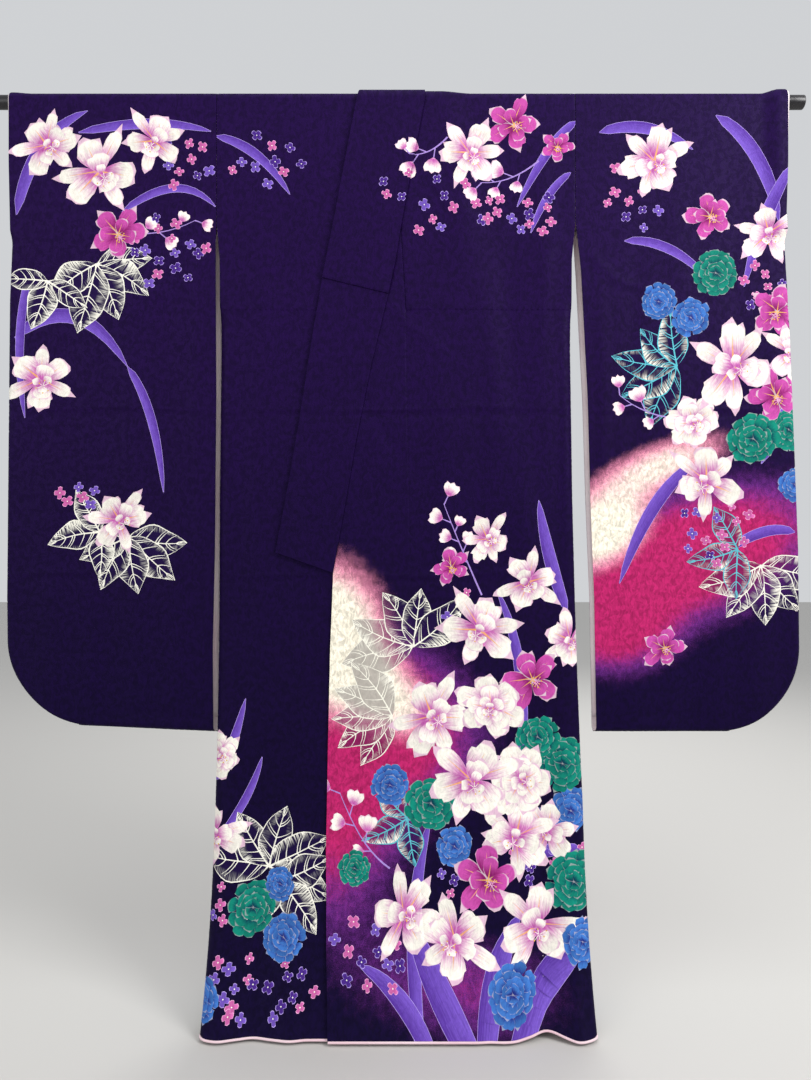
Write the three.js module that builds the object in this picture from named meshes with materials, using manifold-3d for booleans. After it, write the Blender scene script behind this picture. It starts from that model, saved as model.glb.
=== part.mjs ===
import * as THREE from 'three';
import Module from 'manifold-3d';

// A furisode hung flat on a rod, millimetres. The rod's centre is the origin, its axis is X,
// the garment's front faces -Y and Z is up. Left and right are the wearer's: right is at -X.

const cloth = 1.6;
const liningCloth = 1.0;
const seamGap = 0.3;
const ownSeamHalf = 0.5;
const rodRadius = 12;
const rodHalfLength = 720;
const rodChamfer = 1.5;
const rodClearance = 0.4;
const hangRadius = rodRadius + rodClearance + cloth / 2;

const hemDrop = 1565;
const leanStart = 850;
const frontLean = { slow: 45, fast: 90 };
const backLean = { slow: 16, fast: 42 };

const armholeDrop = 216;
const sideOpenDrop = 343;
const sideClosedDrop = 400;
const tuckDrop = 370;
const tuckStep = 1.2;

const neckHalf = 51;
const overlapTipDrop = 232;
const overLayer = 2.6;
const overLayerAtHem = 5.8;
const collarLayer = 4.0;
const overCollarLayer = 6.0;

const sleeveDrop = 1111;
const sleeveCorner = 150;
const cuffDrop = 230;
const sleeveDepthAtBottom = 9;

const pipingRadius = 2.1;
const hemLiningHeight = 110;

const kernel = await Module();
kernel.setup();

const clamp = (v, lo, hi) => Math.min(Math.max(v, lo), hi);

function smooth(from, to, v) {
  const t = clamp((v - from) / (to - from), 0, 1);
  return t * t * (3 - 2 * t);
}

// Straight-line reading of a table of [down, across] rows, down being the drop below the rod.
function read(table, down) {
  if (down <= table[0][0]) return table[0][1];
  for (let i = 1; i < table.length; i += 1) {
    const [d1, x1] = table[i];
    const [d0, x0] = table[i - 1];
    if (down <= d1) return x0 + ((x1 - x0) * (down - d0)) / (d1 - d0);
  }
  return table[table.length - 1][1];
}

// Edges of the panels: drop below the rod, distance across from the middle.
const bodyEdge = {
  right: [[0, 314.2], [216, 314.2], [282, 309], [438, 308], [703, 311], [1226, 313], [1565, 312]],
  left: [
    [0, 314.2], [216, 314.2], [282, 308], [438, 307], [703, 311], [1055, 320], [1226, 324],
    [1565, 323],
  ],
};
const sleeveInner = {
  right: [[0, 314.8], [216, 314.8], [260, 316], [527, 315], [791, 318], [967, 322], [1111, 321]],
  left: [[0, 314.8], [216, 314.8], [300, 324], [527, 336], [703, 341], [879, 348], [1111, 352]],
};
const sleeveOuter = {
  right: [[0, 680], [237, 675], [351, 680], [527, 682], [879, 686], [1111, 684]],
  left: [[0, 687], [201, 681], [422, 694], [615, 702], [791, 709], [1111, 713]],
};
// The back of each sleeve stands out past the front at the open inner edge.
const sleeveBackStep = { right: 6, left: 4 };

// Collar of the over front, its mirror is the under front's. Each row is one cross line.
const collarRows = [
  { freeX: -68, freeDown: 0, seamX: 51, seamDown: 0 },
  { freeX: -78, freeDown: 52, seamX: 40.7, seamDown: 55 },
  { freeX: -88, freeDown: 104, seamX: 30, seamDown: 112 },
  { freeX: -106, freeDown: 200, seamX: 10.5, seamDown: 216 },
  { freeX: -118, freeDown: 262, seamX: 0, seamDown: 282 },
  { freeX: -129, freeDown: 315, seamX: -13, seamDown: 343 },
  { freeX: -150, freeDown: 442, seamX: -44, seamDown: 472 },
  { freeX: -169, freeDown: 564, seamX: -69, seamDown: 597 },
  { freeX: -190, freeDown: 686, seamX: -90, seamDown: 720 },
  { freeX: -211, freeDown: 795, seamX: -110, seamDown: 831 },
];
const overCollarEndRow = 5;
const collarFree = collarRows.map((row) => [row.freeDown, row.freeX]);
const collarSeam = collarRows.map((row) => [row.seamDown, row.seamX]);
const frontEdge = [
  ...collarSeam,
  [966, -115], [1137, -118], [1302, -119], [1451, -114], [1565, -107],
];
const overlapSeam = [
  [224, 9], [353, 17], [529, 19], [704, 23], [879, 26], [1138, 31], [1380, 44], [1565, 57],
];
const neckLine = [[0, neckHalf], [8, neckHalf], [15, 48], [22, 40], [27, 25], [30.5, 0.15]];

// Soft folds: middle across, half width, where each starts, where it is full, how far it stands
// out from the surface (negative goes in).
const frontFolds = [
  { x: 178, half: 36, start: 900, full: 1400, out: 6 },
  { x: 244, half: 32, start: 1050, full: 1520, out: -9 },
  { x: 294, half: 26, start: 860, full: 1350, out: 7 },
  { x: -282, half: 30, start: 950, full: 1450, out: 5 },
  { x: -226, half: 36, start: 1100, full: 1520, out: -6 },
  { x: -168, half: 30, start: 1150, full: 1540, out: 4 },
];
const backFolds = [
  { x: 205, half: 46, start: 700, full: 1450, out: 9 },
  { x: 118, half: 40, start: 950, full: 1500, out: -8 },
  { x: 40, half: 34, start: 800, full: 1500, out: 6 },
  { x: -62, half: 40, start: 900, full: 1480, out: -7 },
  { x: -140, half: 42, start: 650, full: 1420, out: 9 },
  { x: -226, half: 44, start: 1000, full: 1520, out: -6 },
];
const sleeveFolds = [
  { x: -610, half: 48, start: 420, full: 960, out: 3 },
  { x: -500, half: 56, start: 300, full: 900, out: -3 },
  { x: -392, half: 46, start: 520, full: 1040, out: 3 },
  { x: 420, half: 50, start: 360, full: 900, out: 3 },
  { x: 524, half: 56, start: 300, full: 960, out: -3 },
  { x: 636, half: 44, start: 480, full: 1000, out: 3 },
];

function foldsAt(folds, x, down) {
  let out = 0;
  for (const fold of folds) {
    const off = Math.abs(x - fold.x) / fold.half;
    if (off < 1) {
      out += fold.out * Math.cos((off * Math.PI) / 2) ** 2 * smooth(fold.start, fold.full, down);
    }
  }
  return out;
}

function leanAt(lean, down) {
  const t = clamp((down - leanStart) / (hemDrop - leanStart), 0, 1);
  return lean.slow * t ** 1.5 + lean.fast * t ** 4;
}

// How far the over layers stand off the under ones, growing towards the hem for its piping.
function layerAt(layer, down) {
  return layer + (overLayerAtHem - overLayer) * smooth(1250, hemDrop - 40, down);
}

function frontY(x, down, off) {
  return -(hangRadius + off + leanAt(frontLean, down) + foldsAt(frontFolds, x, down));
}

function backY(x, down) {
  return hangRadius - leanAt(backLean, down) + foldsAt(backFolds, x, down);
}

// The part of the over body that lies on the under collar or the under overlap panel.
function overBodyLift(x, down) {
  const reach = down <= 831 ? -read(collarFree, down) : 119;
  const lying = 1 - smooth(reach + 10, reach + 66, x);
  return lying * layerAt(overLayer + tuckStep, down);
}

function hemRise(x, down) {
  const off = Math.abs(x - 241) / 52;
  const rise = off < 1 ? 7 * Math.cos((off * Math.PI) / 2) ** 2 : 0;
  return rise * smooth(hemDrop - 120, hemDrop, down);
}

// Surface helpers. A surface is a table of rows of points.

function normalsOf(rows) {
  const last = rows.length - 1;
  return rows.map((row, i) => row.map((point, j) => {
    const end = row.length - 1;
    const along = rows[Math.min(i + 1, last)][j].clone().sub(rows[Math.max(i - 1, 0)][j]);
    const across = row[Math.min(j + 1, end)].clone().sub(row[Math.max(j - 1, 0)]);
    return along.cross(across).normalize();
  }));
}

function movedOut(rows, distance) {
  const normals = normalsOf(rows);
  return rows.map((row, i) => row.map((point, j) => (
    point.clone().addScaledVector(normals[i][j], distance)
  )));
}

function geometryFrom(positions, faces) {
  let volume = 0;
  const [a, b, c] = [new THREE.Vector3(), new THREE.Vector3(), new THREE.Vector3()];
  for (const [i, j, k] of faces) {
    volume += a.copy(positions[i]).dot(b.copy(positions[j]).cross(c.copy(positions[k])));
  }
  const ordered = volume > 0 ? faces : faces.map(([i, j, k]) => [i, k, j]);
  const geometry = new THREE.BufferGeometry();
  geometry.setAttribute('position', new THREE.Float32BufferAttribute(
    positions.flatMap((p) => [p.x, p.y, p.z]), 3,
  ));
  geometry.setIndex(ordered.flat());
  geometry.computeVertexNormals();
  return geometry;
}

// A closed wall between two surfaces of the same table size.
function wallBetween(outside, inside) {
  const height = outside.length;
  const width = outside[0].length;
  const positions = [...outside.flat(), ...inside.flat()];
  const at = (i, j) => i * width + j;
  const shift = height * width;
  const faces = [];
  const quad = (p, q, r, s) => faces.push([p, q, r], [p, r, s]);
  for (let i = 0; i + 1 < height; i += 1) {
    for (let j = 0; j + 1 < width; j += 1) {
      const [p, q, r, s] = [at(i, j), at(i + 1, j), at(i + 1, j + 1), at(i, j + 1)];
      const across = outside[i + 1][j + 1].clone().sub(outside[i][j]);
      const turned = across.x * across.z < 0;
      if (turned) {
        quad(q, r, s, p);
        quad(shift + s, shift + r, shift + q, shift + p);
      } else {
        quad(p, q, r, s);
        quad(shift + p, shift + s, shift + r, shift + q);
      }
    }
    const end = width - 1;
    quad(at(i, 0), shift + at(i, 0), shift + at(i + 1, 0), at(i + 1, 0));
    quad(at(i, end), at(i + 1, end), shift + at(i + 1, end), shift + at(i, end));
  }
  for (let j = 0; j + 1 < width; j += 1) {
    const end = height - 1;
    quad(at(0, j), at(0, j + 1), shift + at(0, j + 1), shift + at(0, j));
    quad(at(end, j), shift + at(end, j), shift + at(end, j + 1), at(end, j + 1));
  }
  return geometryFrom(positions, faces);
}

const sheet = (rows, thickness) => wallBetween(
  movedOut(rows, thickness / 2),
  movedOut(rows, -thickness / 2),
);

// A round bar along a path, with its own radius at each point.
function bar(path, radii, sides) {
  const positions = [];
  const faces = [];
  const last = path.length - 1;
  path.forEach((point, i) => {
    const ahead = path[Math.min(i + 1, last)].clone().sub(path[Math.max(i - 1, 0)]).normalize();
    const up = new THREE.Vector3(0, 0, 1);
    const side = ahead.clone().cross(up).normalize();
    const top = side.clone().cross(ahead).normalize();
    for (let k = 0; k < sides; k += 1) {
      const turn = (2 * Math.PI * (k + 0.5)) / sides;
      positions.push(point.clone()
        .addScaledVector(side, radii[i] * Math.cos(turn))
        .addScaledVector(top, radii[i] * Math.sin(turn)));
    }
  });
  for (let i = 0; i < last; i += 1) {
    for (let k = 0; k < sides; k += 1) {
      const p = i * sides + k;
      const q = i * sides + ((k + 1) % sides);
      faces.push([p, q, q + sides], [p, q + sides, p + sides]);
    }
  }
  for (let k = 1; k + 1 < sides; k += 1) {
    faces.push([0, k + 1, k]);
    faces.push([last * sides, last * sides + k, last * sides + k + 1]);
  }
  return geometryFrom(positions, faces);
}

// Row positions down the cloth, and the turns over the rod from front to back.
const bodyDowns = [
  1565, 1536, 1502, 1466, 1426, 1382, 1334, 1280, 1222, 1158, 1086, 1008, 926, 850,
  831, 720, 597, 472, 400, 372, 368, 343, 282, 232, 216, 112, 30, 0,
];
const backDowns = [
  0, 8, 15, 22, 27, 30.5, 112, 216, 282, 343, 368, 372, 400, 597,
  850, 926, 1008, 1086, 1158, 1222, 1280, 1334, 1382, 1426, 1466, 1502, 1536, 1565,
];
const turns = [22.5, 45, 67.5, 90, 112.5, 135, 157.5].map((degrees) => (degrees * Math.PI) / 180);
const edgeTurns = [0, 30, 60, 90].map((degrees) => (degrees * Math.PI) / 180);

// Distances in from a closed edge: a rounded turn of the given width, then even steps.
function edgeSteps(turnWidth, reach, count) {
  const steps = edgeTurns.map((turn) => ({
    in: turnWidth * (1 - Math.cos(turn)),
    turned: 1 - Math.sin(turn),
  }));
  const even = count - steps.length;
  for (let k = 1; k <= even; k += 1) {
    steps.push({ in: turnWidth + ((reach - turnWidth) * k) / even, turned: 0 });
  }
  return steps;
}

// Body half

const bodyColumns = 14;
const sideTurn = 14;

function bodyHalf(name) {
  const side = name === 'left' ? 1 : -1;
  const over = name === 'left';
  const liftAt = (x, down) => (over ? overBodyLift(x, down) : 0);
  const tuckAt = (down) => (down > tuckDrop ? -tuckStep : 0);
  const closedAt = (down) => smooth(sideOpenDrop, sideClosedDrop, down);
  const frontInner = (down) => (down < 220
    ? read(collarSeam, down) + seamGap
    : read(overlapSeam, down) + seamGap);

  const frontEdgeY = (down) => (
    frontY(side * read(bodyEdge[name], down), down, 0) - tuckAt(down) + hangRadius - ownSeamHalf
  );

  const rows = [];
  for (const down of bodyDowns) {
    const outer = read(bodyEdge[name], down);
    rows.push(edgeSteps(sideTurn, outer - frontInner(down), bodyColumns).map((step) => {
      const x = outer - step.in;
      const off = liftAt(x, down) + tuckAt(down);
      const drop = down - hemRise(side * x, down);
      const flat = frontY(side * x, drop, off);
      const y = flat + (frontEdgeY(down) - flat) * step.turned * closedAt(down);
      return new THREE.Vector3(side * x, y, -drop);
    }));
  }
  for (const turn of turns) {
    rows.push(edgeSteps(sideTurn, bodyEdge[name][0][1] - neckHalf, bodyColumns).map((step) => {
      const x = bodyEdge[name][0][1] - step.in;
      const radius = hangRadius + liftAt(x, 0) * (1 - smooth(Math.PI * 0.5, Math.PI, turn));
      return new THREE.Vector3(side * x, -radius * Math.cos(turn), radius * Math.sin(turn));
    }));
  }
  for (const down of backDowns) {
    const outer = read(bodyEdge[name], down);
    const edge = frontEdgeY(down) + 2 * ownSeamHalf;
    const middle = backY(side * 200, down);
    const width = clamp(0.9 * Math.abs(middle - edge) * closedAt(down), sideTurn, 80);
    rows.push(edgeSteps(width, outer - read(neckLine, down), bodyColumns).map((step) => {
      const x = outer - step.in;
      const flat = backY(side * x, down) + tuckAt(down);
      const y = flat + (edge - flat) * step.turned * closedAt(down);
      return new THREE.Vector3(side * x, y, -down);
    }));
  }
  return rows;
}

// Overlap panel, cut to a point at its top and sewn along the collar and the body's front.

function overlapPanel(name) {
  const side = name === 'left' ? 1 : -1;
  const layer = name === 'left' ? overLayer : 0;
  const rows = [];
  for (const down of bodyDowns.filter((d) => d >= overlapTipDrop)) {
    const low = read(frontEdge, down) + (down < 831 ? seamGap : 0);
    const high = read(overlapSeam, down) - (down === overlapTipDrop ? 0 : seamGap);
    const row = [];
    for (let k = 0; k <= 5; k += 1) {
      const x = high + ((low - high) * k) / 5;
      const off = name === 'left' ? layerAt(layer, down) : 0;
      row.push(new THREE.Vector3(side * x, frontY(side * x, down, off), -down));
    }
    rows.push(row);
  }
  return rows;
}

// Collar: an arm down each front and the part round the back of the neck.

function collarArm(name, layer, endRow, backRows) {
  const side = name === 'left' ? 1 : -1;
  const columns = 4;
  const rows = [];
  for (let i = endRow; i >= 0; i -= 1) {
    const station = collarRows[i];
    const row = [];
    for (let k = 0; k <= columns; k += 1) {
      const t = k / columns;
      const x = station.freeX + (station.seamX - station.freeX) * t;
      const down = station.freeDown + (station.seamDown - station.freeDown) * t;
      row.push(new THREE.Vector3(side * x, frontY(side * x, down, layer), -down));
    }
    rows.push(row);
  }
  for (const turn of turns) {
    const free = -68 + 18 * smooth(0.3, Math.PI / 2, turn);
    const low = name === 'left' ? -68 + 18 * smooth(1.3, Math.PI * 0.8, turn) : free;
    const row = [];
    for (let k = 0; k <= columns; k += 1) {
      const x = low + (neckHalf - seamGap - low) * (k / columns);
      const radius = hangRadius + layer;
      row.push(new THREE.Vector3(side * x, -radius * Math.cos(turn), radius * Math.sin(turn)));
    }
    rows.push(row);
  }
  for (const [down, half, off] of backRows) {
    const row = [];
    for (let k = 0; k <= columns; k += 1) {
      const x = -half + 2 * half * (k / columns);
      row.push(new THREE.Vector3(side * x, hangRadius + off, -down));
    }
    rows.push(row);
  }
  return rows;
}

const underArmBack = [[0, 50, 0], [8, 50, 0], [15, 47, 0], [22, 39, 0], [26.5, 25, 0]];
const overArmBack = [[0, 48, 3.2], [7, 46, 1.0], [14, 44, 1.0]];
const overCollarBack = [[0, 50, 5.6], [10, 49, 4.4], [20, 41, 3.4], [25, 30, 3.2]];

// Sleeve: one length over the rod, closed at the bottom and below the cuff opening.

const sleeveColumns = 11;
const sleeveTurn = 9;
const sleeveDowns = [
  1111, 1109.8, 1106.5, 1102, 1086, 1062, 1030, 994, 961, 900, 800, 690, 580, 470, 360,
  255, 230, 216, 112, 30, 0,
];

// The surface that lies so far out from the middle of the sleeve's cloth, and is drawn in by
// half the cloth less that distance along its closed edges.
function sleevePiece(name, out) {
  const drawnIn = cloth / 2 - out;
  const side = name === 'left' ? 1 : -1;
  const edgeStand = (x) => (name === 'left' ? 7 : 1.8) * smooth(640, 672, x);

  const depthAt = (down) => (
    sleeveDepthAtBottom + (hangRadius - sleeveDepthAtBottom) * (1 - smooth(300, 1060, down))
  );
  const outerAt = (down) => {
    const below = clamp(down - (sleeveDrop - sleeveCorner), 0, 0.985 * sleeveCorner);
    const round = sleeveCorner - Math.sqrt(sleeveCorner ** 2 - below ** 2);
    return read(sleeveOuter[name], down) - round;
  };
  const bottomTurned = (down) => {
    const rise = clamp((sleeveDrop - down) / sleeveTurn, 0, 1);
    return Math.sqrt(Math.max(0, 1 - (1 - rise) ** 2));
  };
  const tiltAt = (x, down) => (name === 'left' ? 0 : 0.045 * smooth(760, 1111, down) * (x - 320));

  const panel = (down, face) => {
    const outer = outerAt(down) - drawnIn * smooth(cuffDrop, cuffDrop + 25, down);
    const step = face > 0 ? sleeveBackStep[name] * smooth(armholeDrop, 290, down) : 0;
    const inner = read(sleeveInner[name], down) - step;
    const closed = smooth(cuffDrop, cuffDrop + 25, down);
    return edgeSteps(sleeveTurn, outer - inner, sleeveColumns).map((part) => {
      const x = outer - part.in;
      const fold = foldsAt(sleeveFolds, side * x, down) * bottomTurned(down) * (1 - part.turned);
      const stand = edgeStand(x) * (1 - closed);
      const flat = depthAt(down) + stand + out;
      const half = flat * (1 - part.turned * closed) * bottomTurned(down);
      const y = face * Math.max(half, ownSeamHalf) - fold;
      const drop = down - tiltAt(x, down) - (drawnIn * down) / sleeveDrop;
      return new THREE.Vector3(side * x, y, -drop);
    });
  };

  const rows = [];
  for (const down of sleeveDowns) {
    rows.push(panel(down, -1));
  }
  for (const turn of turns) {
    const outer = outerAt(0);
    rows.push(edgeSteps(sleeveTurn, outer - sleeveInner[name][0][1], sleeveColumns).map((part) => {
      const x = outer - part.in;
      const radius = hangRadius + edgeStand(x) + out;
      return new THREE.Vector3(side * x, -radius * Math.cos(turn), radius * Math.sin(turn));
    }));
  }
  for (const down of [...sleeveDowns].reverse()) {
    rows.push(panel(down, 1));
  }
  return rows;
}

// Linings that show, made from the panels' own points and moved in.

function stripOf(rows, fromRow, toRow, columns, inward) {
  const inner = movedOut(rows, inward);
  return inner.slice(fromRow, toRow).map((row) => columns.map((j) => row[j]));
}

function inwardOf(rows, row, column, towards) {
  const out = movedOut(rows, 1)[row][column].sub(rows[row][column]);
  return out.dot(towards) > 0 ? 1 : -1;
}

// Builds

const built = {};
const add = (name, geometry, colour) => {
  const material = new THREE.MeshStandardMaterial({ color: colour });
  const mesh = new THREE.Mesh(geometry, material);
  mesh.name = name;
  built[name] = mesh;
};

function joined(first, second) {
  const solids = [first, second].map((geometry) => kernel.Manifold.ofMesh(new kernel.Mesh({
    numProp: 3,
    vertProperties: new Float32Array(geometry.getAttribute('position').array),
    triVerts: new Uint32Array(geometry.getIndex().array),
  })));
  const mesh = solids[0].add(solids[1]).getMesh();
  const geometry = new THREE.BufferGeometry();
  geometry.setAttribute('position', new THREE.BufferAttribute(mesh.vertProperties, 3));
  geometry.setIndex(new THREE.BufferAttribute(mesh.triVerts, 1));
  geometry.computeVertexNormals();
  return geometry;
}

const indigo = 0x26174a;
const liningPink = 0xe7b9c4;
const liningPale = 0xf1e6e4;

add('hanging_rod', bar(
  [-rodHalfLength, -rodHalfLength + rodChamfer, rodHalfLength - rodChamfer, rodHalfLength]
    .map((x) => new THREE.Vector3(x, 0, 0)),
  [rodRadius - rodChamfer, rodRadius, rodRadius, rodRadius - rodChamfer],
  40,
), 0x17151a);

const liningMove = cloth / 2 + seamGap + liningCloth / 2;

for (const name of ['right', 'left']) {
  const body = bodyHalf(name);
  const overlap = overlapPanel(name);
  add(`${name}_body`, sheet(body, cloth), indigo);
  add(`${name}_overlap`, sheet(overlap, cloth), indigo);

  const lastRow = body.length - 1;

  const below = (edge, above) => {
    const way = edge.clone().sub(above).normalize();
    return edge.clone().addScaledVector(way, pipingRadius + seamGap);
  };
  const path = [];
  for (let j = overlap[0].length - 1; j >= 0; j -= 1) {
    path.push(below(overlap[0][j], overlap[1][j]));
  }
  for (let j = body[0].length - 1; j >= 0; j -= 1) {
    path.push(below(body[0][j], body[1][j]));
  }
  for (let j = 1; j < body[0].length; j += 1) {
    path.push(below(body[lastRow][j], body[lastRow - 1][j]));
  }
  add(`${name}_hem_piping`, bar(path, path.map(() => pipingRadius), 8), liningPink);

  const hemRows = bodyDowns.filter((down) => down >= hemDrop - hemLiningHeight).length;
  const inFront = inwardOf(body, 0, 8, new THREE.Vector3(0, 1, 0)) * liningMove;
  const inOverlap = inwardOf(overlap, 0, 2, new THREE.Vector3(0, 1, 0)) * liningMove;
  const bodyIn = movedOut(body, inFront);
  const overlapIn = movedOut(overlap, inOverlap);
  const liningRows = [];
  for (let i = 0; i < hemRows; i += 1) {
    liningRows.push([
      ...[...overlapIn[i]].reverse(),
      ...[...bodyIn[i]].reverse(),
      ...bodyIn[lastRow - i].slice(1),
    ]);
  }
  liningRows[0] = liningRows[0].map((point, j) => point.clone().lerp(liningRows[1][j], 0.12));
  add(`${name}_hem_lining`, sheet(liningRows, liningCloth), liningPink);

  const sleeve = sleevePiece(name, 0);
  const sleeveWall = wallBetween(sleevePiece(name, cloth / 2), sleevePiece(name, -cloth / 2));
  add(`${name}_sleeve`, sleeveWall, indigo);

  const inside = inwardOf(sleeve, 12, 8, new THREE.Vector3(0, 1, 0)) * liningMove;
  const lastColumn = sleeveColumns - 1;
  const openRow = sleeveDowns.indexOf(armholeDrop);
  const cuffRow = sleeveDowns.indexOf(cuffDrop);
  const sleeveEnd = sleeve.length;
  const furi = [lastColumn - 1, lastColumn];
  add(`${name}_sleeve_lining_front`, sheet(
    stripOf(sleeve, 4, openRow, furi, inside),
    liningCloth,
  ), liningPale);
  add(`${name}_sleeve_lining_back`, sheet(
    stripOf(sleeve, sleeveEnd - openRow, sleeveEnd - 4, furi, inside),
    liningCloth,
  ), liningPale);
  add(`${name}_cuff_lining`, sheet(
    stripOf(sleeve, cuffRow, sleeveEnd - cuffRow, [0, 1, 2, 3], inside),
    liningCloth,
  ), liningPale);
}

const underArm = collarArm('right', 0, collarRows.length - 1, underArmBack);
const overArm = collarArm('left', collarLayer, collarRows.length - 1, overArmBack);
const overCollar = collarArm('left', overCollarLayer, overCollarEndRow, overCollarBack);
add('collar', joined(sheet(underArm, cloth), sheet(overArm, cloth)), indigo);
add('over_collar', sheet(overCollar, cloth), indigo);

const group = new THREE.Group();
group.name = 'furisode';
for (const mesh of Object.values(built)) {
  group.add(mesh);
}

export default group;
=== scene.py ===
import math
import random

import bpy
import numpy as np
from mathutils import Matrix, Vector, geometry


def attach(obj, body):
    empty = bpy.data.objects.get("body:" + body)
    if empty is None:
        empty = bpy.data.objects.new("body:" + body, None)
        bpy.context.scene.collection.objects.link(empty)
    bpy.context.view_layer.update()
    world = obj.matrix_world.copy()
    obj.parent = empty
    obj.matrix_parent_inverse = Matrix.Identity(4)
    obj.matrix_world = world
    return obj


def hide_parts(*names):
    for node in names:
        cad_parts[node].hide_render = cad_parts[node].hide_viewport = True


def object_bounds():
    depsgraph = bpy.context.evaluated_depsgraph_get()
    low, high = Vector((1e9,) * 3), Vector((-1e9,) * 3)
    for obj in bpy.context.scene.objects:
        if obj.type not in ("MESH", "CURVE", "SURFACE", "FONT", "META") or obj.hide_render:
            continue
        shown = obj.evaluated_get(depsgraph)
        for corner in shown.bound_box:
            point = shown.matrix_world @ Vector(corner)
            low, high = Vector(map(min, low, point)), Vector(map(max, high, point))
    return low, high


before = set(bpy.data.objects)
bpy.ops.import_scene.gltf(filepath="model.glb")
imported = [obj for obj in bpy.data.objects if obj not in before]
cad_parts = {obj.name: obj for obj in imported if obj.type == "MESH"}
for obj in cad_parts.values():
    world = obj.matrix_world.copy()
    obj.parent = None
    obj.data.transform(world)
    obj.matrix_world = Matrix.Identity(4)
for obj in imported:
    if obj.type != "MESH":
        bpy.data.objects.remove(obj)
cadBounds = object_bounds()

# A furisode hung flat on a rod. Sizes are in millimetres, and meshes are made in metres.
# Left and right are the wearer's: the right side is at -X, and the front faces -Y.
# Every panel is worked out flat: x runs along the rod, and run is the distance along the
# cloth from the top of the rod, growing down the front and negative down the back.

metre = 0.001

hang = {
    "radius": 13.2,         # from the rod's centre to the middle of the cloth
    "hem": 1565,
    "leanStart": 850,
    "frontLean": (45, 90),
    "backLean": (16, 42),
    "tuck": 370,
    "tuckStep": 1.2,
    "armhole": 216,
    "sideOpen": 343,        # the side seam starts here and is closed from sideClosed down
    "sideClosed": 400,
}
sleeveSizes = {"bottom": 1111, "corner": 150, "cuff": 230, "depth": 9}
layers = {"overlap": 2.6, "overBody": 3.8, "collar": 4.0, "overCollar": 6.0}    # above the cloth below
underCollar = {"end": 831, "reach": 211, "below": 119, "eased": 900}   # lift of the over body's edge
hemRise = {"middle": 241, "half": 52, "height": 7, "over": 120}        # the hem's one raised wave
sideOf = {"right": -1, "left": 1}
backStep = {"right": 6, "left": 4}      # a sleeve's back stands out past its front at the inner edge
arc = hang["radius"] * math.pi / 2


def smooth(low, high, v):
    t = np.clip((np.asarray(v, float) - low) / (high - low), 0, 1)
    return t * t * (3 - 2 * t)


def read(rows, v):          # straight-line reading of rows of drop and value
    downs, values = zip(*rows)
    return np.interp(v, downs, values)


def placed(name, data):
    made = bpy.data.objects.new(name, data)
    bpy.context.scene.collection.objects.link(made)
    return made


# Cut of the panels: drop below the rod, distance from the middle.
bodyEdge = {
    "right": [(0, 314.2), (216, 314.2), (282, 309), (438, 308), (703, 311), (1226, 313), (1565, 312)],
    "left": [(0, 314.2), (216, 314.2), (282, 308), (438, 307), (703, 311), (1055, 320), (1226, 324),
             (1565, 323)],
}
sleeveInner = {
    "right": [(0, 314.8), (216, 314.8), (260, 316), (527, 315), (791, 318), (967, 322), (1111, 321)],
    "left": [(0, 314.8), (216, 314.8), (300, 324), (527, 336), (703, 341), (879, 348), (1111, 352)],
}
sleeveOuter = {
    "right": [(0, 680), (237, 675), (351, 680), (527, 682), (879, 686), (1111, 684)],
    "left": [(0, 687), (201, 681), (422, 694), (615, 702), (791, 709), (1111, 713)],
}
# Collar of the over front: free edge across and down, sewn edge across and down.
collarRows = [
    (-68, 0, 51, 0), (-78, 52, 40.7, 55), (-88, 104, 30, 112), (-106, 200, 10.5, 216),
    (-118, 262, 0, 282), (-129, 315, -13, 343), (-150, 442, -44, 472), (-169, 564, -69, 597),
    (-190, 686, -90, 720), (-211, 795, -110, 831),
]
overCollarEnd = 5
collarFree = [(row[1], row[0]) for row in collarRows]
collarSeam = [(row[3], row[2]) for row in collarRows]
frontEdge = collarSeam + [(966, -115), (1137, -118), (1302, -119), (1451, -114), (1565, -107)]
overlapSeam = [(224, 9), (353, 17), (529, 19), (704, 23), (879, 26), (1138, 31), (1380, 44), (1565, 57)]
neckLine = [(0, 51), (8, 51), (15, 48), (22, 40), (27, 25), (30.5, 0.1)]

# Large folds: middle across, half width, where each starts and is full, how far it stands out.
frontFolds = [
    (178, 36, 900, 1400, 6), (244, 32, 1050, 1520, -9), (294, 26, 860, 1350, 7),
    (-282, 30, 950, 1450, 5), (-226, 36, 1100, 1520, -6), (-168, 30, 1150, 1540, 4),
]
backFolds = [
    (205, 46, 700, 1450, 9), (118, 40, 950, 1500, -8), (40, 34, 800, 1500, 6),
    (-62, 40, 900, 1480, -7), (-140, 42, 650, 1420, 9), (-226, 44, 1000, 1520, -6),
]
sleeveFolds = [
    (-610, 48, 420, 960, 3), (-500, 56, 300, 900, -3), (-392, 46, 520, 1040, 3),
    (420, 50, 360, 900, 3), (524, 56, 300, 960, -3), (636, 44, 480, 1000, 3),
]

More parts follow.
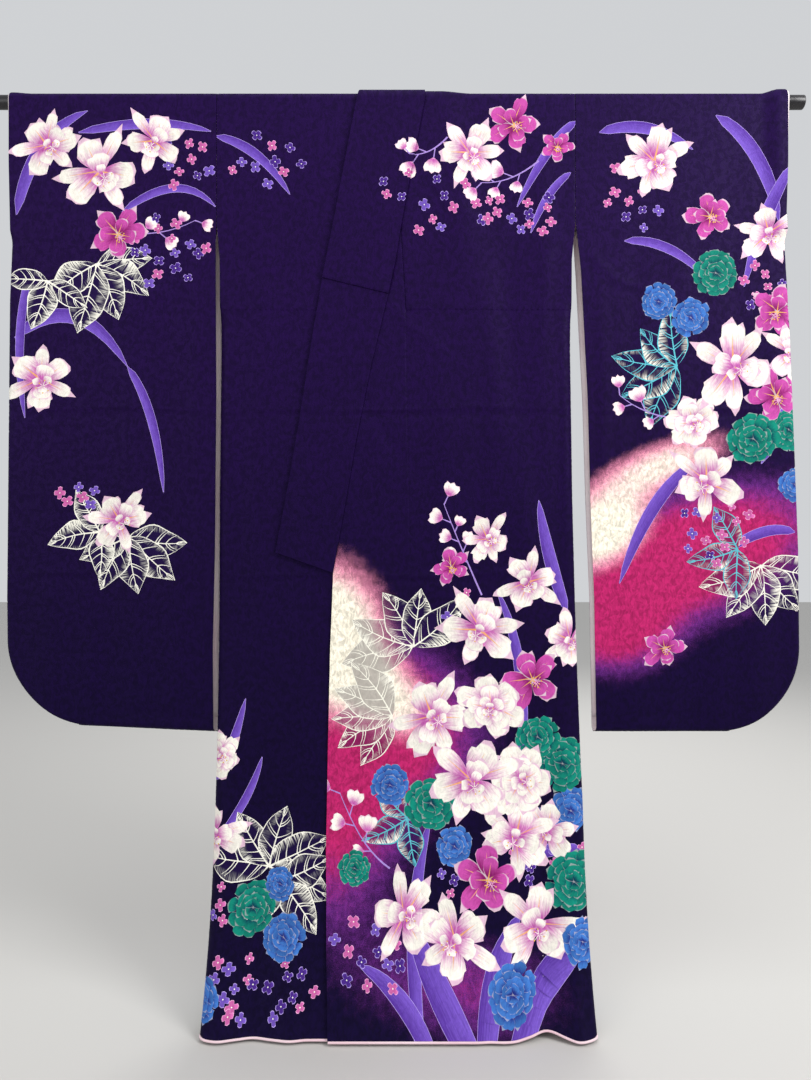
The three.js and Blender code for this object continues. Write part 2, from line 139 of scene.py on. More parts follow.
# Creases: a route of (x, drop) points, half width, and height out from the cloth (negative is
# a trough). They fade towards both ends. Every layer of the front shares the front's.
frontCreases = [
    ([(-312, 549), (-170, 544), (-20, 547), (140, 541), (316, 544)], 3.6, 0.8),
    ([(-312, 558), (-150, 554), (60, 556), (316, 552)], 6, -0.7),
    ([(-311, 838), (-120, 833), (40, 837), (190, 831), (318, 834)], 4.0, 0.9),
    ([(-311, 849), (-100, 845), (120, 846), (318, 843)], 7, -0.6),
    ([(-312, 1118), (-60, 1126), (150, 1120), (322, 1124)], 5, 0.6),
    ([(-238, 20), (-246, 210), (-232, 450), (-240, 640)], 20, 1.5),
    ([(-190, 90), (-196, 300), (-180, 520)], 15, -1.3),
    ([(-140, 380), (-158, 640), (-166, 930), (-150, 1180)], 22, 1.8),
    ([(-284, 380), (-270, 620), (-276, 900)], 17, -1.6),
    ([(-262, 640), (-234, 880), (-246, 1160)], 19, 1.6),
    ([(118, 24), (108, 190), (122, 350)], 21, 1.4),
    ([(196, 30), (206, 240), (194, 470), (206, 700)], 24, -1.5),
    ([(256, 60), (262, 320), (250, 560)], 17, 1.6),
    ([(64, 390), (84, 600), (80, 830), (98, 1080)], 24, 1.9),
    ([(150, 420), (146, 660), (132, 900)], 19, -1.7),
    ([(222, 560), (236, 800), (226, 1040)], 21, 1.5),
    ([(292, 420), (284, 660), (290, 860)], 13, -1.4),
    ([(-36, 470), (-30, 700), (-52, 960), (-44, 1230)], 18, 1.7),
    ([(-80, 860), (-72, 1120), (-84, 1400)], 15, -1.8),
    ([(6, 1090), (14, 1330), (2, 1550)], 20, 2.2),
    ([(-58, 300), (24, 400), (96, 452)], 9, 1.0),
    ([(-90, 470), (-20, 590), (60, 690)], 11, -1.0),
    ([(46, 110), (90, 180), (150, 214)], 9, 0.9),
    ([(-300, 240), (-250, 300), (-180, 330)], 9, -0.9),
    ([(296, 230), (262, 286), (200, 318)], 9, 1.0),
    ([(110, 1180), (124, 1360), (104, 1556)], 17, -2.4),
    ([(-306, 1290), (-288, 1420), (-300, 1560)], 12, 2.0),
    ([(-196, 1240), (-204, 1400), (-190, 1562)], 13, -2.0),
]
backCreases = [
    ([(-312, 547), (-60, 543), (130, 548), (316, 544)], 3.8, 0.8),
    ([(-312, 836), (-80, 832), (110, 838), (318, 833)], 4.2, 0.9),
    ([(-310, 1122), (0, 1128), (320, 1121)], 5, 0.6),
    ([(-236, 40), (-244, 320), (-226, 640), (-238, 900)], 26, 1.9),
    ([(-160, 70), (-150, 380), (-168, 700)], 22, -1.7),
    ([(-74, 60), (-82, 330), (-66, 620)], 19, 1.5),
    ([(66, 50), (78, 360), (64, 700)], 20, 1.6),
    ([(148, 60), (140, 330), (156, 640)], 24, -1.7),
    ([(236, 40), (248, 360), (232, 690), (240, 980)], 25, 1.9),
    ([(-20, 700), (-34, 980), (-18, 1300)], 18, -1.8),
    ([(296, 420), (288, 700), (294, 1000)], 13, -1.5),
    ([(-294, 420), (-286, 700), (-296, 1010)], 13, -1.5),
    ([(-196, 900), (-184, 1200), (-196, 1550)], 20, 2.2),
    ([(90, 900), (80, 1220), (96, 1550)], 20, 2.2),
    ([(-300, 210), (-240, 262), (-176, 284)], 10, 1.0),
    ([(300, 214), (246, 260), (180, 288)], 10, 1.0),
]
sleeveCreases = {
    "rightFront": [
        ([(-680, 546), (-500, 541), (-318, 545)], 3.6, 0.9), ([(-680, 556), (-318, 554)], 6, -0.6),
        ([(-684, 836), (-500, 830), (-322, 834)], 3.8, 0.9), ([(-684, 846), (-322, 844)], 7, -0.5),
        ([(-648, 40), (-640, 300), (-652, 620), (-640, 900)], 20, 1.5),
        ([(-566, 60), (-574, 380), (-560, 760)], 22, -1.4),
        ([(-470, 40), (-462, 330), (-476, 700), (-466, 1010)], 24, 1.5),
        ([(-404, 240), (-396, 560), (-410, 880)], 18, -1.4),
        ([(-346, 250), (-352, 520), (-344, 860)], 12, 1.4),
        ([(-322, 262), (-372, 330), (-440, 356)], 9, 1.0),
        ([(-330, 1092), (-420, 1080), (-520, 1090)], 9, -1.0),
        ([(-520, 900), (-540, 1010), (-520, 1090)], 14, 1.2),
    ],
    "leftFront": [
        ([(338, 548), (520, 543), (696, 546)], 3.6, 0.9), ([(338, 557), (696, 556)], 6, -0.6),
        ([(346, 838), (540, 831), (706, 836)], 3.8, 0.9), ([(346, 848), (706, 846)], 7, -0.5),
        ([(656, 240), (664, 520), (676, 820)], 19, 1.6),
        ([(590, 60), (598, 380), (588, 720), (604, 980)], 24, -1.5),
        ([(490, 50), (500, 360), (486, 690), (498, 1010)], 24, 1.5),
        ([(424, 200), (414, 520), (430, 860)], 18, -1.4),
        ([(356, 280), (366, 560), (362, 900)], 12, 1.5),
        ([(330, 262), (386, 318), (456, 340)], 9, 1.0),
        ([(372, 1090), (470, 1078), (560, 1092)], 9, -1.0),
        ([(690, 300), (668, 420), (640, 500)], 10, 1.1),
    ],
    "rightBack": [
        ([(-680, 545), (-318, 547)], 3.8, 0.8), ([(-684, 834), (-322, 836)], 4, 0.8),
        ([(-630, 60), (-622, 480), (-636, 940)], 26, 1.5), ([(-540, 90), (-550, 600)], 24, -1.4),
        ([(-450, 60), (-440, 520), (-452, 980)], 26, 1.5), ([(-370, 250), (-380, 820)], 17, -1.4),
    ],
    "leftBack": [
        ([(338, 546), (696, 548)], 3.8, 0.8), ([(346, 835), (706, 838)], 4, 0.8),
        ([(640, 60), (650, 480), (642, 940)], 26, 1.5), ([(556, 90), (548, 600)], 24, -1.4),
        ([(462, 60), (452, 520), (464, 980)], 26, 1.5), ([(384, 290), (392, 820)], 17, -1.4),
    ],
}


def creasesAt(creases, x, down, fading=True):
    out = np.zeros_like(x)
    for route, half, height in creases:
        nearest = np.full_like(x, 1e9)
        place = np.zeros_like(x)
        for k in range(len(route) - 1):
            (ax, ad), (bx, bd) = route[k], route[k + 1]
            span = (bx - ax) ** 2 + (bd - ad) ** 2
            t = np.clip(((x - ax) * (bx - ax) + (down - ad) * (bd - ad)) / span, 0, 1)
            away = np.hypot(x - ax - t * (bx - ax), down - ad - t * (bd - ad))
            closer = away < nearest
            nearest = np.where(closer, away, nearest)
            place = np.where(closer, (k + t) / (len(route) - 1), place)
        ends = np.sin(np.clip(place, 0.0, 1.0) * math.pi) ** 0.6 if fading else 1.0
        out += height * np.exp(-(nearest / half) ** 2) * ends
    return out


def foldsAt(folds, x, down):
    out = np.zeros_like(x)
    for middle, half, start, full, height in folds:
        off = np.clip(np.abs(x - middle) / half, 0, 1)
        out += height * np.cos(off * math.pi / 2) ** 2 * smooth(start, full, down)
    return out


def leanAt(lean, down):
    t = np.clip((down - hang["leanStart"]) / (hang["hem"] - hang["leanStart"]), 0, 1)
    return lean[0] * t ** 1.5 + lean[1] * t ** 4


def layerAt(layer, down):   # the over layers stand off more towards the hem
    return layer + 3.2 * smooth(1250, hang["hem"] - 40, down)


def frontOut(x, down):
    return leanAt(hang["frontLean"], down) + foldsAt(frontFolds, x, down)


def dropAndTurn(run):
    return np.maximum(np.abs(run) - arc, 0), np.clip((arc - run) / hang["radius"], 0, math.pi)


def overRod(x, run, off, out, shift):
    # off lifts the cloth all the way round, out moves the front out and shift moves the back.
    down, turn = dropAndTurn(run)
    radius = hang["radius"] + off
    y = -radius * np.cos(turn) - np.where(run > 0, out, 0) + np.where(run < 0, shift, 0)
    return down, np.stack([x, y, radius * np.sin(turn) - down], axis=1)


def turnedEdge(distance, width):
    u = np.clip(distance / width, 0, 1)
    return 1 - np.sqrt(np.maximum(0, 1 - (1 - u) ** 2))


def bodyPlace(name):
    side = sideOf[name]

    def place(x, run):
        down, turn = dropAndTurn(run)
        xs = side * x
        outer = read(bodyEdge[name], down)
        tucked = -hang["tuckStep"] * smooth(369, 371.4, down)
        lift = np.zeros_like(x)
        if name == "left":
            narrowed = underCollar["reach"] - underCollar["below"]
            reach = underCollar["reach"] - narrowed * smooth(underCollar["end"], underCollar["eased"], down)
            reach = np.where(down <= underCollar["end"], -read(collarFree, down), reach)
            lift = (1 - smooth(reach + 10, reach + 66, xs)) * layerAt(layers["overBody"], down)
        off = lift * (1 - smooth(math.pi * 0.5, math.pi, turn))
        wave = np.clip(np.abs(xs * side - hemRise["middle"]) / hemRise["half"], 0, 1)
        rise = hemRise["height"] * np.cos(wave * math.pi / 2) ** 2
        rise = np.where(run > 0, rise * smooth(hang["hem"] - hemRise["over"], hang["hem"], down), 0)
        creases = creasesAt(frontCreases, x, down) * smooth(0, 60, down)
        backs = creasesAt(backCreases, x, down) * smooth(0, 60, down)
        front = frontOut(x, down - rise) + tucked + creases
        back = foldsAt(backFolds, x, down) - leanAt(hang["backLean"], down) + tucked + backs
        down, points = overRod(x, run, off, front, back)
        closed = smooth(hang["sideOpen"], hang["sideClosed"], down)
        edgeX = side * outer
        meet = -hang["radius"] - frontOut(edgeX, down) - tucked + hang["radius"] - 0.1
        backMeet = meet + 0.2
        middle = hang["radius"] + foldsAt(backFolds, np.full_like(x, side * 200.0), down)
        middle = middle - leanAt(hang["backLean"], down)
        backWidth = np.clip(0.9 * np.abs(middle - backMeet) * closed, 14, 80)
        width = np.where(run > 0, 14, backWidth)
        turned = turnedEdge(outer - xs, width) * closed
        target = np.where(run > 0, meet, backMeet)
        points[:, 1] += (target - points[:, 1]) * np.where(np.abs(run) > arc, turned, 0)
        points[:, 2] += rise
        return points
    return place


def layerPlace(layer, growing=False):
    # A layer of the front: overlap panel, collar or over-collar.
    def place(x, run):
        down, turn = dropAndTurn(run)
        off = layerAt(layer, down) if growing else np.full_like(x, float(layer))
        tail = np.where(run < -arc, smooth(0, 14, down), 0)
        off = off * (1 - tail * (0.6 if layer > 0 else 0))
        out = frontOut(x, down) + creasesAt(frontCreases, x, down) * smooth(0, 60, down)
        return overRod(x, run, off, out, np.zeros_like(x))[1]
    return place


def overlapPlace(name):     # the left overlap panel lies on the right one
    return layerPlace(layers["overlap"], True) if name == "left" else layerPlace(0)


def sleeveEdge(name, down):     # outer edge, rounded at the bottom
    corner = sleeveSizes["corner"]
    below = np.clip(np.asarray(down, float) - (sleeveSizes["bottom"] - corner), 0, 0.985 * corner)
    return read(sleeveOuter[name], down) - (corner - np.sqrt(corner ** 2 - below ** 2))


def innerEdge(name, down, face):
    step = backStep[name] if face < 0 else 0
    return read(sleeveInner[name], down) - step * smooth(hang["armhole"], 290, down)


def sleevePlace(name):
    side = sideOf[name]

    def place(x, run):
        down, turn = dropAndTurn(run)
        xs = side * x
        front = run > 0
        deep = sleeveSizes["depth"]
        depth = deep + (hang["radius"] - deep) * (1 - smooth(300, 1060, down))
        closed = smooth(sleeveSizes["cuff"], sleeveSizes["cuff"] + 25, down)
        stand = (7 if name == "left" else 1.8) * smooth(640, 672, xs)
        turned = turnedEdge(sleeveEdge(name, down) - xs, deep)
        rise = np.clip((sleeveSizes["bottom"] - down) / deep, 0, 1)
        bottom = np.sqrt(np.maximum(0, 1 - (1 - rise) ** 2))
        inward = bottom * (1 - turned)
        half = (depth + stand * (1 - closed)) * (1 - turned * closed) * bottom
        fold = foldsAt(sleeveFolds, x, down) * inward
        creases = np.where(front, creasesAt(sleeveCreases[name + "Front"], x, down),
                           creasesAt(sleeveCreases[name + "Back"], x, down))
        half = np.maximum(half, 0.1) + creases * inward * smooth(0, 60, down)
        tilt = 0.045 * smooth(760, sleeveSizes["bottom"], down) * (xs - 320) if name == "right" else 0
        around = hang["radius"] + stand
        flat = np.abs(run) > arc
        y = np.where(flat, np.where(front, -half, half) - fold, -around * np.cos(turn))
        z = np.where(flat, -(down - tilt), around * np.sin(turn))
        return np.stack([x, y, z], axis=1)
    return place


def facing(place, x, run):
    # The outward direction of the cloth at each point, from its neighbours 0.4 mm away.
    step = 0.4
    across = place(x + step, run) - place(x - step, run)
    along = place(x, run + step) - place(x, run - step)
    out = -np.cross(across, along)
    return out / np.maximum(np.linalg.norm(out, axis=1, keepdims=True), 1e-9)


# Outlines of the panels on the flat cloth.

def bodyOutline(name):
    side = sideOf[name]
    drops = [1565, 1451, 1380, 1302, 1138, 966, 879, 704, 529, 400, 353, 290, 240, 224]
    points = [(read(overlapSeam, d), d + arc) for d in drops]
    points += [(read(collarSeam, d), d + arc) for d in (200, 160, 112, 55, 0)]
    points += [(51, 0), (51, -arc)]
    points += [(half, -arc - down) for down, half in neckLine[1:]]
    points += [(0.1, -arc - 1565)]
    points += [(read(bodyEdge[name], d), -arc - d) for d in (1565, 1226, 1055, 703, 438, 282, 216)]
    points += [(read(bodyEdge[name], d), arc + d) for d in (0, 216, 282, 438, 703, 1055, 1226, 1565)]
    return [(side * x, run) for x, run in points]


def overlapOutline(name):
    side = sideOf[name]
    drops = [240, 262, 282, 343, 400, 472, 529, 597, 704, 720, 831, 879, 966, 1137, 1302, 1380, 1451, 1565]
    low = [(read(frontEdge, d) + 0.1, d + arc) for d in drops]
    high = [(read(overlapSeam, d) - 0.1, d + arc) for d in reversed(drops)]
    return [(side * x, run) for x, run in [(9.4, 230 + arc)] + low + high]


def collarOutline(name, end, backRows):
    side = sideOf[name]
    free = [(x, down + arc) for x, down, seamX, seamDown in collarRows[:end + 1]]
    seam = [(seamX - 0.1, seamDown + arc) for x, down, seamX, seamDown in collarRows[:end + 1]]
    over = [(-62, 0), (-52, -arc)] if name == "left" else [(-52, 0), (-50, -arc)]
    points = list(reversed(free)) + over
    points += [(-half, -arc - down) for down, half in backRows]
    points += [(half, -arc - down) for down, half in reversed(backRows)]
    points += [(50.8, -arc), (50.8, 0)] + seam
    return [(side * x, run) for x, run in points]


def sleeveOutline(name):
    side = sideOf[name]
    drops = [1111, 1109, 1106, 1101, 1094, 1085, 1074, 1060, 1044, 1024, 1000, 976, 961]
    drops += [879, 791, 703, 615, 527, 422, 351, 255, 237, 201, 112]
    outer = [(sleeveEdge(name, d), arc + d) for d in drops]
    outer += [(sleeveEdge(name, d), -arc - d) for d in reversed(drops)]
    inner = [1111, 967, 879, 791, 703, 527, 300, 260, 216]
    points = [(innerEdge(name, d, -1), -arc - d) for d in inner]
    points += [(innerEdge(name, d, 1), arc + d) for d in reversed(inner)]
    return [(side * x, run) for x, run in points + outer]


def dense(outline, spacing):
    points = []
    for k, (ax, ar) in enumerate(outline):
        bx, br = outline[(k + 1) % len(outline)]
        count = max(1, round(math.hypot(bx - ax, br - ar) / spacing))
        points += [(ax + (bx - ax) * i / count, ar + (br - ar) * i / count) for i in range(count)]
    return np.array(points, float)


def insideOf(edge, points):
    inside = np.zeros(len(points), bool)
    px, pr = points[:, 0], points[:, 1]
    for (ax, ar), (bx, br) in zip(edge, np.roll(edge, -1, axis=0)):
        if ar != br:
            cuts = (ar > pr) != (br > pr)
            inside ^= cuts & (px < (bx - ax) * (pr - ar) / (br - ar) + ax)
    return inside


def flatArea(edge):
    x, run = edge[:, 0], edge[:, 1]
    return 0.5 * float(np.sum(x * np.roll(run, -1) - np.roll(x, -1) * run))


def fillPoints(edge, spacing, bands, rows):
    # An even field of points, bands that follow the edge, and rows along sharp creases.
    low, high = edge.min(axis=0), edge.max(axis=0)
    field = []
    for j, run in enumerate(np.arange(low[1] + spacing / 2, high[1], spacing * 0.87)):
        xs = np.arange(low[0] + spacing * (0.3 + 0.5 * (j % 2)), high[0], spacing)
        field.append(np.stack([xs, np.full_like(xs, run)], axis=1))
    field.append(np.array([(x, y) for y in np.arange(-arc, arc + 0.1, arc / 7)
                           for x in np.arange(low[0] + 3, high[0], spacing)]))
    ahead = np.roll(edge, -1, axis=0) - np.roll(edge, 1, axis=0)
    ahead /= np.maximum(np.linalg.norm(ahead, axis=1, keepdims=True), 1e-9)
    turned = np.stack([-ahead[:, 1], ahead[:, 0]], axis=1) * (1 if flatArea(edge) > 0 else -1)
    field += [edge + turned * band for band in bands]
    for run in rows:
        for shift in (-8, -4, -1.5, 0, 1.5, 4, 8):
            xs = np.arange(low[0] + 4, high[0], spacing)
            field.append(np.stack([xs, np.full_like(xs, run + shift)], axis=1))
    points = np.concatenate(field)
    points += np.random.default_rng(7).uniform(-0.2, 0.2, points.shape)
    return points[insideOf(edge, points)]


# Dyes, as display colours.

def dye(red, green, blue):
    level = [v / 255 for v in (red, green, blue)]
    return tuple(v / 12.92 if v <= 0.04045 else ((v + 0.055) / 1.055) ** 2.4 for v in level)


def towards(angle):
    return np.array([math.cos(angle), math.sin(angle)])


dyes = {
    "cream": dye(255, 250, 238), "heart": dye(208, 96, 184),
    "magenta": dye(206, 82, 172), "wine": dye(150, 30, 112), "rose": dye(240, 170, 214),
    "teal": dye(16, 136, 116), "deepTeal": dye(4, 62, 84),
    "blue": dye(64, 118, 196), "deepBlue": dye(34, 44, 132),
    "violet": dye(126, 92, 202), "deepViolet": dye(82, 46, 148), "mist": dye(184, 160, 232),
    "throat": dye(240, 176, 92), "white": dye(250, 247, 232), "edge": dye(96, 192, 206),
    "pollen": dye(226, 176, 60), "pink": dye(224, 110, 182), "ground": dye(34, 18, 70),
    "stem": dye(170, 140, 214),
}
ribbedKind, petalKind, leafKind, lineKind, plainKind, bladeKind = 0.8, 1, 2, 3, 4, 5


class Drawing:
    # Shapes dyed on the flat cloth, in the order in which they cover each other.
    def __init__(self, seed, face=1):
        self.shapes = []
        self.chance = random.Random(seed)
        self.face = face        # 1 draws on the front, -1 on the back
        self.at(0, 0)

    def at(self, x, down, tilt=0.0, squash=1.0):
        c, s = math.cos(tilt), math.sin(tilt)
        self.shift = np.array([x, down], float)
        self.turned = np.array([[c * c * squash + s * s, c * s * (squash - 1)],
                                [c * s * (squash - 1), s * s * squash + c * c]])

    def shape(self, points, kind, inner, outer, base=(0, 0), tip=(1, 0), half=1.0, rim=1.0):
        spots = np.array([base, tip] + list(points), float) @ self.turned.T + self.shift
        spots[:, 1] = self.face * (spots[:, 1] + arc)
        ahead = spots[1] - spots[0]
        length = max(float(np.hypot(*ahead)), 1e-6)
        self.shapes.append({
            "points": spots[2:], "kind": kind, "inner": inner, "outer": outer, "base": spots[0],
            "ahead": ahead / length, "length": length, "half": half, "seed": self.chance.random(),
            "rim": rim,
        })

    def petal(self, base, angle, length, half, inner, outer, rim, kind=petalKind, ruffle=0.05,
              count=13, tip=0.06):
        way = towards(angle)
        side = np.array([-way[1], way[0]])
        start = np.array(base, float)
        phase = self.chance.uniform(0, 2 * math.pi)
        turns = np.linspace(-2.7, 2.7, count)
        reach = 0.53 + 0.47 * np.cos(turns)
        wave = np.sin(5 * turns + phase) + 0.7 * np.sin(9 * turns + 2 * phase)
        wave = 1 + ruffle * (0.4 + 0.6 * reach) * wave
        along = length * (reach * wave + tip * np.exp(-(turns / 0.2) ** 2))
        across = half * np.sin(turns) * (0.4 + 0.6 * reach) * wave
        edge = start + np.outer(along, way) + np.outer(across, side)
        self.shape(np.vstack([start, edge]), kind, inner, outer, start, start + way * length, half, rim)

    def stroke(self, points, width, colour, kind=plainKind, taper=0.35):
        line = np.array(points, float)
        ahead = np.gradient(line, axis=0)
        ahead /= np.maximum(np.linalg.norm(ahead, axis=1, keepdims=True), 1e-9)
        side = np.stack([-ahead[:, 1], ahead[:, 0]], axis=1)
        t = np.linspace(0, 1, len(line))
        halves = (0.5 * width * (1 - (1 - taper) * t))[:, None]
        rim = np.concatenate([line + side * halves, (line - side * halves)[::-1]])
        self.shape(rim, kind, colour, colour, line[0], line[-1], width / 2)


def bend(start, middle, end, count):
    t = np.linspace(0, 1, count)[:, None]
    a, b, c = (np.array(p, float) for p in (start, middle, end))
    return (1 - t) ** 2 * a + 2 * t * (1 - t) * b + t ** 2 * c


def stamens(draw, reach, count, colour, tip):
    for k in range(count):
        angle = 2 * math.pi * (k + draw.chance.uniform(0.2, 0.8)) / count
        end = reach * draw.chance.uniform(0.6, 1.0)
        way = towards(angle)
        draw.stroke([way * 1.2, way * end], 1.1, colour, taper=0.7)
        dot = [way * end + 1.6 * towards(a) for a in (0.4, 2.0, 3.5, 5.1)]
        draw.shape(dot, plainKind, tip, tip)


# Open flowers. Each ring: petals, reach, half width, ruffle, pointed tip, outline points.
flowers = {
    "peony": [(6, 1.0, 0.47, 0.06, 0.05, 15), (5, 0.72, 0.37, 0.06, 0.05, 13), (4, 0.44, 0.25, 0.06, 0.03, 9),
              (3, 0.24, 0.15, 0.04, 0.0, 9)],
    "lily": [(3, 1.04, 0.26, 0.03, 0.14, 15), (3, 0.92, 0.44, 0.07, 0.10, 17), (2, 0.58, 0.34, 0.08, 0.0, 13),
             (3, 0.30, 0.17, 0.07, 0.0, 9)],
    "camellia": [(5, 1.0, 0.42, 0.05, 0.10, 15), (4, 0.64, 0.34, 0.06, 0.06, 13)],
}


def bloom(draw, kind, x, down, radius, tilt=0.6, squash=0.86):
    magenta = kind == "camellia"
    inner, outer = (dyes[c] for c in (("wine", "magenta") if magenta else ("heart", "cream")))
    draw.at(x, down, tilt, squash)
    lean = towards(tilt) * radius * (1 - squash) * 1.4
    start = draw.chance.uniform(0, 6.28)
    for ring, (count, reach, half, ruffle, tip, points) in enumerate(flowers[kind]):
        for k in range(count):
            angle = start + ring * 1.05 + 2 * math.pi * (k + draw.chance.uniform(-0.12, 0.12)) / count
            size = radius * reach * draw.chance.uniform(0.88, 1.08)
            light = draw.chance.uniform(0.86, 1.0)
            draw.petal(lean * (1 - reach), angle, size, radius * half * draw.chance.uniform(0.9, 1.1),
                       tuple(c * light for c in inner), tuple(c * light for c in outer),
                       0.75 if magenta else 0.3, ribbedKind if ring < 2 else petalKind, ruffle, points, tip)
    draw.shift = draw.shift + lean
    stamens(draw, radius * 0.2, 9 if magenta else 6, dyes["rose" if magenta else "white"], dyes["pollen"])


# Rosette: rings of short ruffled petals, dark at their feet and pale at their rims.
rosetteRings = [(11, 1.0), (9, 0.76), (7, 0.52), (5, 0.29)]


def rosette(draw, x, down, radius, colours, tilt=0.4, squash=0.9):
    inner, outer = (dyes[c] for c in colours)
    draw.at(x, down, tilt, squash)
    for ring, (count, reach) in enumerate(rosetteRings):
        length = radius * min(reach, 0.5)
        for k in range(count):
            angle = 2 * math.pi * (k + 0.5 * (ring % 2) + draw.chance.uniform(-0.2, 0.2)) / count
            foot = (radius * reach - length) * towards(angle)
            half = min(radius * reach * math.pi / count * 1.9, radius * 0.36)
            light = draw.chance.uniform(0.72, 1.1)
            draw.petal(foot, angle, length * draw.chance.uniform(0.86, 1.12), half,
                       inner, tuple(c * light for c in outer), 0.42, petalKind, 0.08, 11, 0.0)


def floret(draw, x, down, radius, colours):
    body, line = (dyes[c] for c in colours)
    draw.at(x, down, draw.chance.uniform(0, 3.0), 0.85)
    start = draw.chance.uniform(0, 6.28)

    def lobes(size):
        turns = [(start + math.pi * k / 8, size * far) for k, far in enumerate((1.0, 0.94, 0.5, 0.94) * 4)]
        return [(reach * math.cos(turn), reach * math.sin(turn)) for turn, reach in turns]
    draw.shape(lobes(radius), plainKind, line, line)
    draw.shape(lobes(radius - 1.1), petalKind, tuple(c * 0.8 for c in body), body,
               (0, 0), (radius, 0), radius, 0.0)
    dot = [(1.4 * math.cos(a), 1.4 * math.sin(a)) for a in (0, 1.57, 3.14, 4.71)]
    draw.shape(dot, plainKind, dyes["white"], dyes["white"])


floretDyes = [("violet", "mist"), ("pink", "rose"), ("pink", "rose"), ("deepViolet", "mist")]


def florets(draw, x, down, spread, count):
    # A loose spray: places are kept apart by turning the golden angle from one to the next.
    for k in range(count):
        angle = 2.39996 * k + draw.chance.uniform(-0.4, 0.4)
        away = math.sqrt((k + 0.5) / count)
        colours = floretDyes[draw.chance.randrange(len(floretDyes))]
        floret(draw, x + spread[0] * away * math.cos(angle), down + spread[1] * away * math.sin(angle),
               draw.chance.uniform(8.5, 12.0), colours)


# Grass blade: a bent, tapered strip laid in short lengths so that its streaks follow the bend.
def blade(draw, start, middle, end, width, colours=("deepViolet", "violet", "mist"), lengths=11):
    draw.at(0, 0)
    inner, outer, line = (dyes[c] for c in colours)
    spine = bend(start, middle, end, lengths + 1)
    ahead = np.gradient(spine, axis=0)
    ahead /= np.linalg.norm(ahead, axis=1, keepdims=True)
    side = np.stack([-ahead[:, 1], ahead[:, 0]], axis=1)
    t = np.linspace(0, 1, lengths + 1)
    halves = 0.5 * width * (0.16 + 0.84 * np.sin(math.pi * np.clip(0.12 + 0.88 * t, 0, 1)) ** 0.8)
    halves[0], halves[-1] = 0.3, 0.15

    def strip(grow):
        wide = side * (halves + grow)[:, None]
        return spine + wide, spine - wide
    high, low = strip(0.6)
    draw.shape(np.concatenate([high, low[::-1]]), plainKind, line, line, spine[0], spine[-1], width)
    high, low = strip(0)
    for k in range(lengths):
        step = spine[k + 1] - spine[k]
        base = spine[k] - step * k
        draw.shape([high[k], high[k + 1], low[k + 1], low[k]], bladeKind, inner, outer,
                   base, base + step * lengths, width / 2)


# Line-drawn leaf: a pale outline, midrib and paired side veins, shaded in from the rim.
leafLines = {"outline": 2.0, "vein": 1.7, "midrib": 2.8, "pairGap": 0.045}


def lineLeaf(draw, x, down, angle, length, half, line="white", veins=5):
    draw.at(x, down)
    way = towards(angle)
    side = np.array([-way[1], way[0]])
    sway = draw.chance.uniform(-0.18, 0.18)

    def spot(u, v):
        wide = math.sin(math.pi * min(max(u, 0), 1) ** 0.85) * half
        return way * length * u + side * (v * wide + sway * length * math.sin(math.pi * u) * 0.35)
    count = 12
    wave = [1 + 0.07 * math.sin(11 * k / count + sway * 20) for k in range(count + 1)]

    def outline(inset):
        us = [inset * 0.8 / length + (1 - 1.6 * inset / length) * k / count for k in range(count + 1)]
        close = 1 - inset / half
        up = [spot(u, close * w) for u, w in zip(us, wave)]
        back = [spot(u, -close * w) for u, w in zip(us, wave)]
        return up + back[::-1][1:-1]
    colour = dyes[line]
    draw.shape(outline(0), lineKind, colour, colour)
    draw.shape(outline(leafLines["outline"]), leafKind, dyes["white"], dyes["ground"],
               (0, 0), way * length, half)
    for k in range(veins):
        for twin in (0, leafLines["pairGap"]):
            u = 0.10 + 0.72 * k / (veins - 1) + twin
            for v in (-0.86, 0.86):
                end = min(u + 0.16, 0.97)
                if twin and (k + (v > 0)) % 2:
                    continue
                draw.stroke(bend(spot(u, 0), spot(u + 0.05, v * 0.5), spot(end, v), 4),
                            leafLines["vein"], colour, lineKind)
    draw.stroke([spot(u, 0) for u in np.linspace(0.0, 0.97, 7)], leafLines["midrib"], colour, lineKind)


def leafSpray(draw, x, down, angle, size, count=5, line="white", spread=2.6):
    for k in range(count):
        turn = angle + spread * (k / max(count - 1, 1) - 0.5)
        reach = size * draw.chance.uniform(0.82, 1.08)
        lineLeaf(draw, x, down, turn, reach, reach * draw.chance.uniform(0.24, 0.3), line)


def budStem(draw, points, buds, colours=("heart", "cream")):
    draw.at(0, 0)
    line = bend(*points, 10)
    draw.stroke(line, 3.0, dyes["stem"])
    inner, outer = (dyes[c] for c in colours)
    for k in range(buds):
        u = int(3 + 6 * k / max(buds - 1, 1))
        angle = math.atan2(*(line[u] - line[u - 1])[::-1]) + (0.8 if k % 2 else -0.8)
        size = 14 + 8 * draw.chance.random()
        way = towards(angle)
        foot = line[u] + way * size * 0.8
        draw.stroke([line[u], foot], 2.2, dyes["stem"], taper=0.8)
        for turn in (-0.45, 0.45, 0.0):
            draw.petal(foot, angle + turn, size * 1.3, size * 0.46, inner, outer, 0.35, petalKind, 0.03, 9)


teals = ("deepTeal", "teal")
blues = ("deepBlue", "blue")


def blooms(draw, rows):
    for kind, x, down, radius, tilt in rows:
        if kind in flowers:
            bloom(draw, kind, x, down, radius, tilt)
        else:
            rosette(draw, x, down, radius, teals if kind == "teal" else blues, tilt)


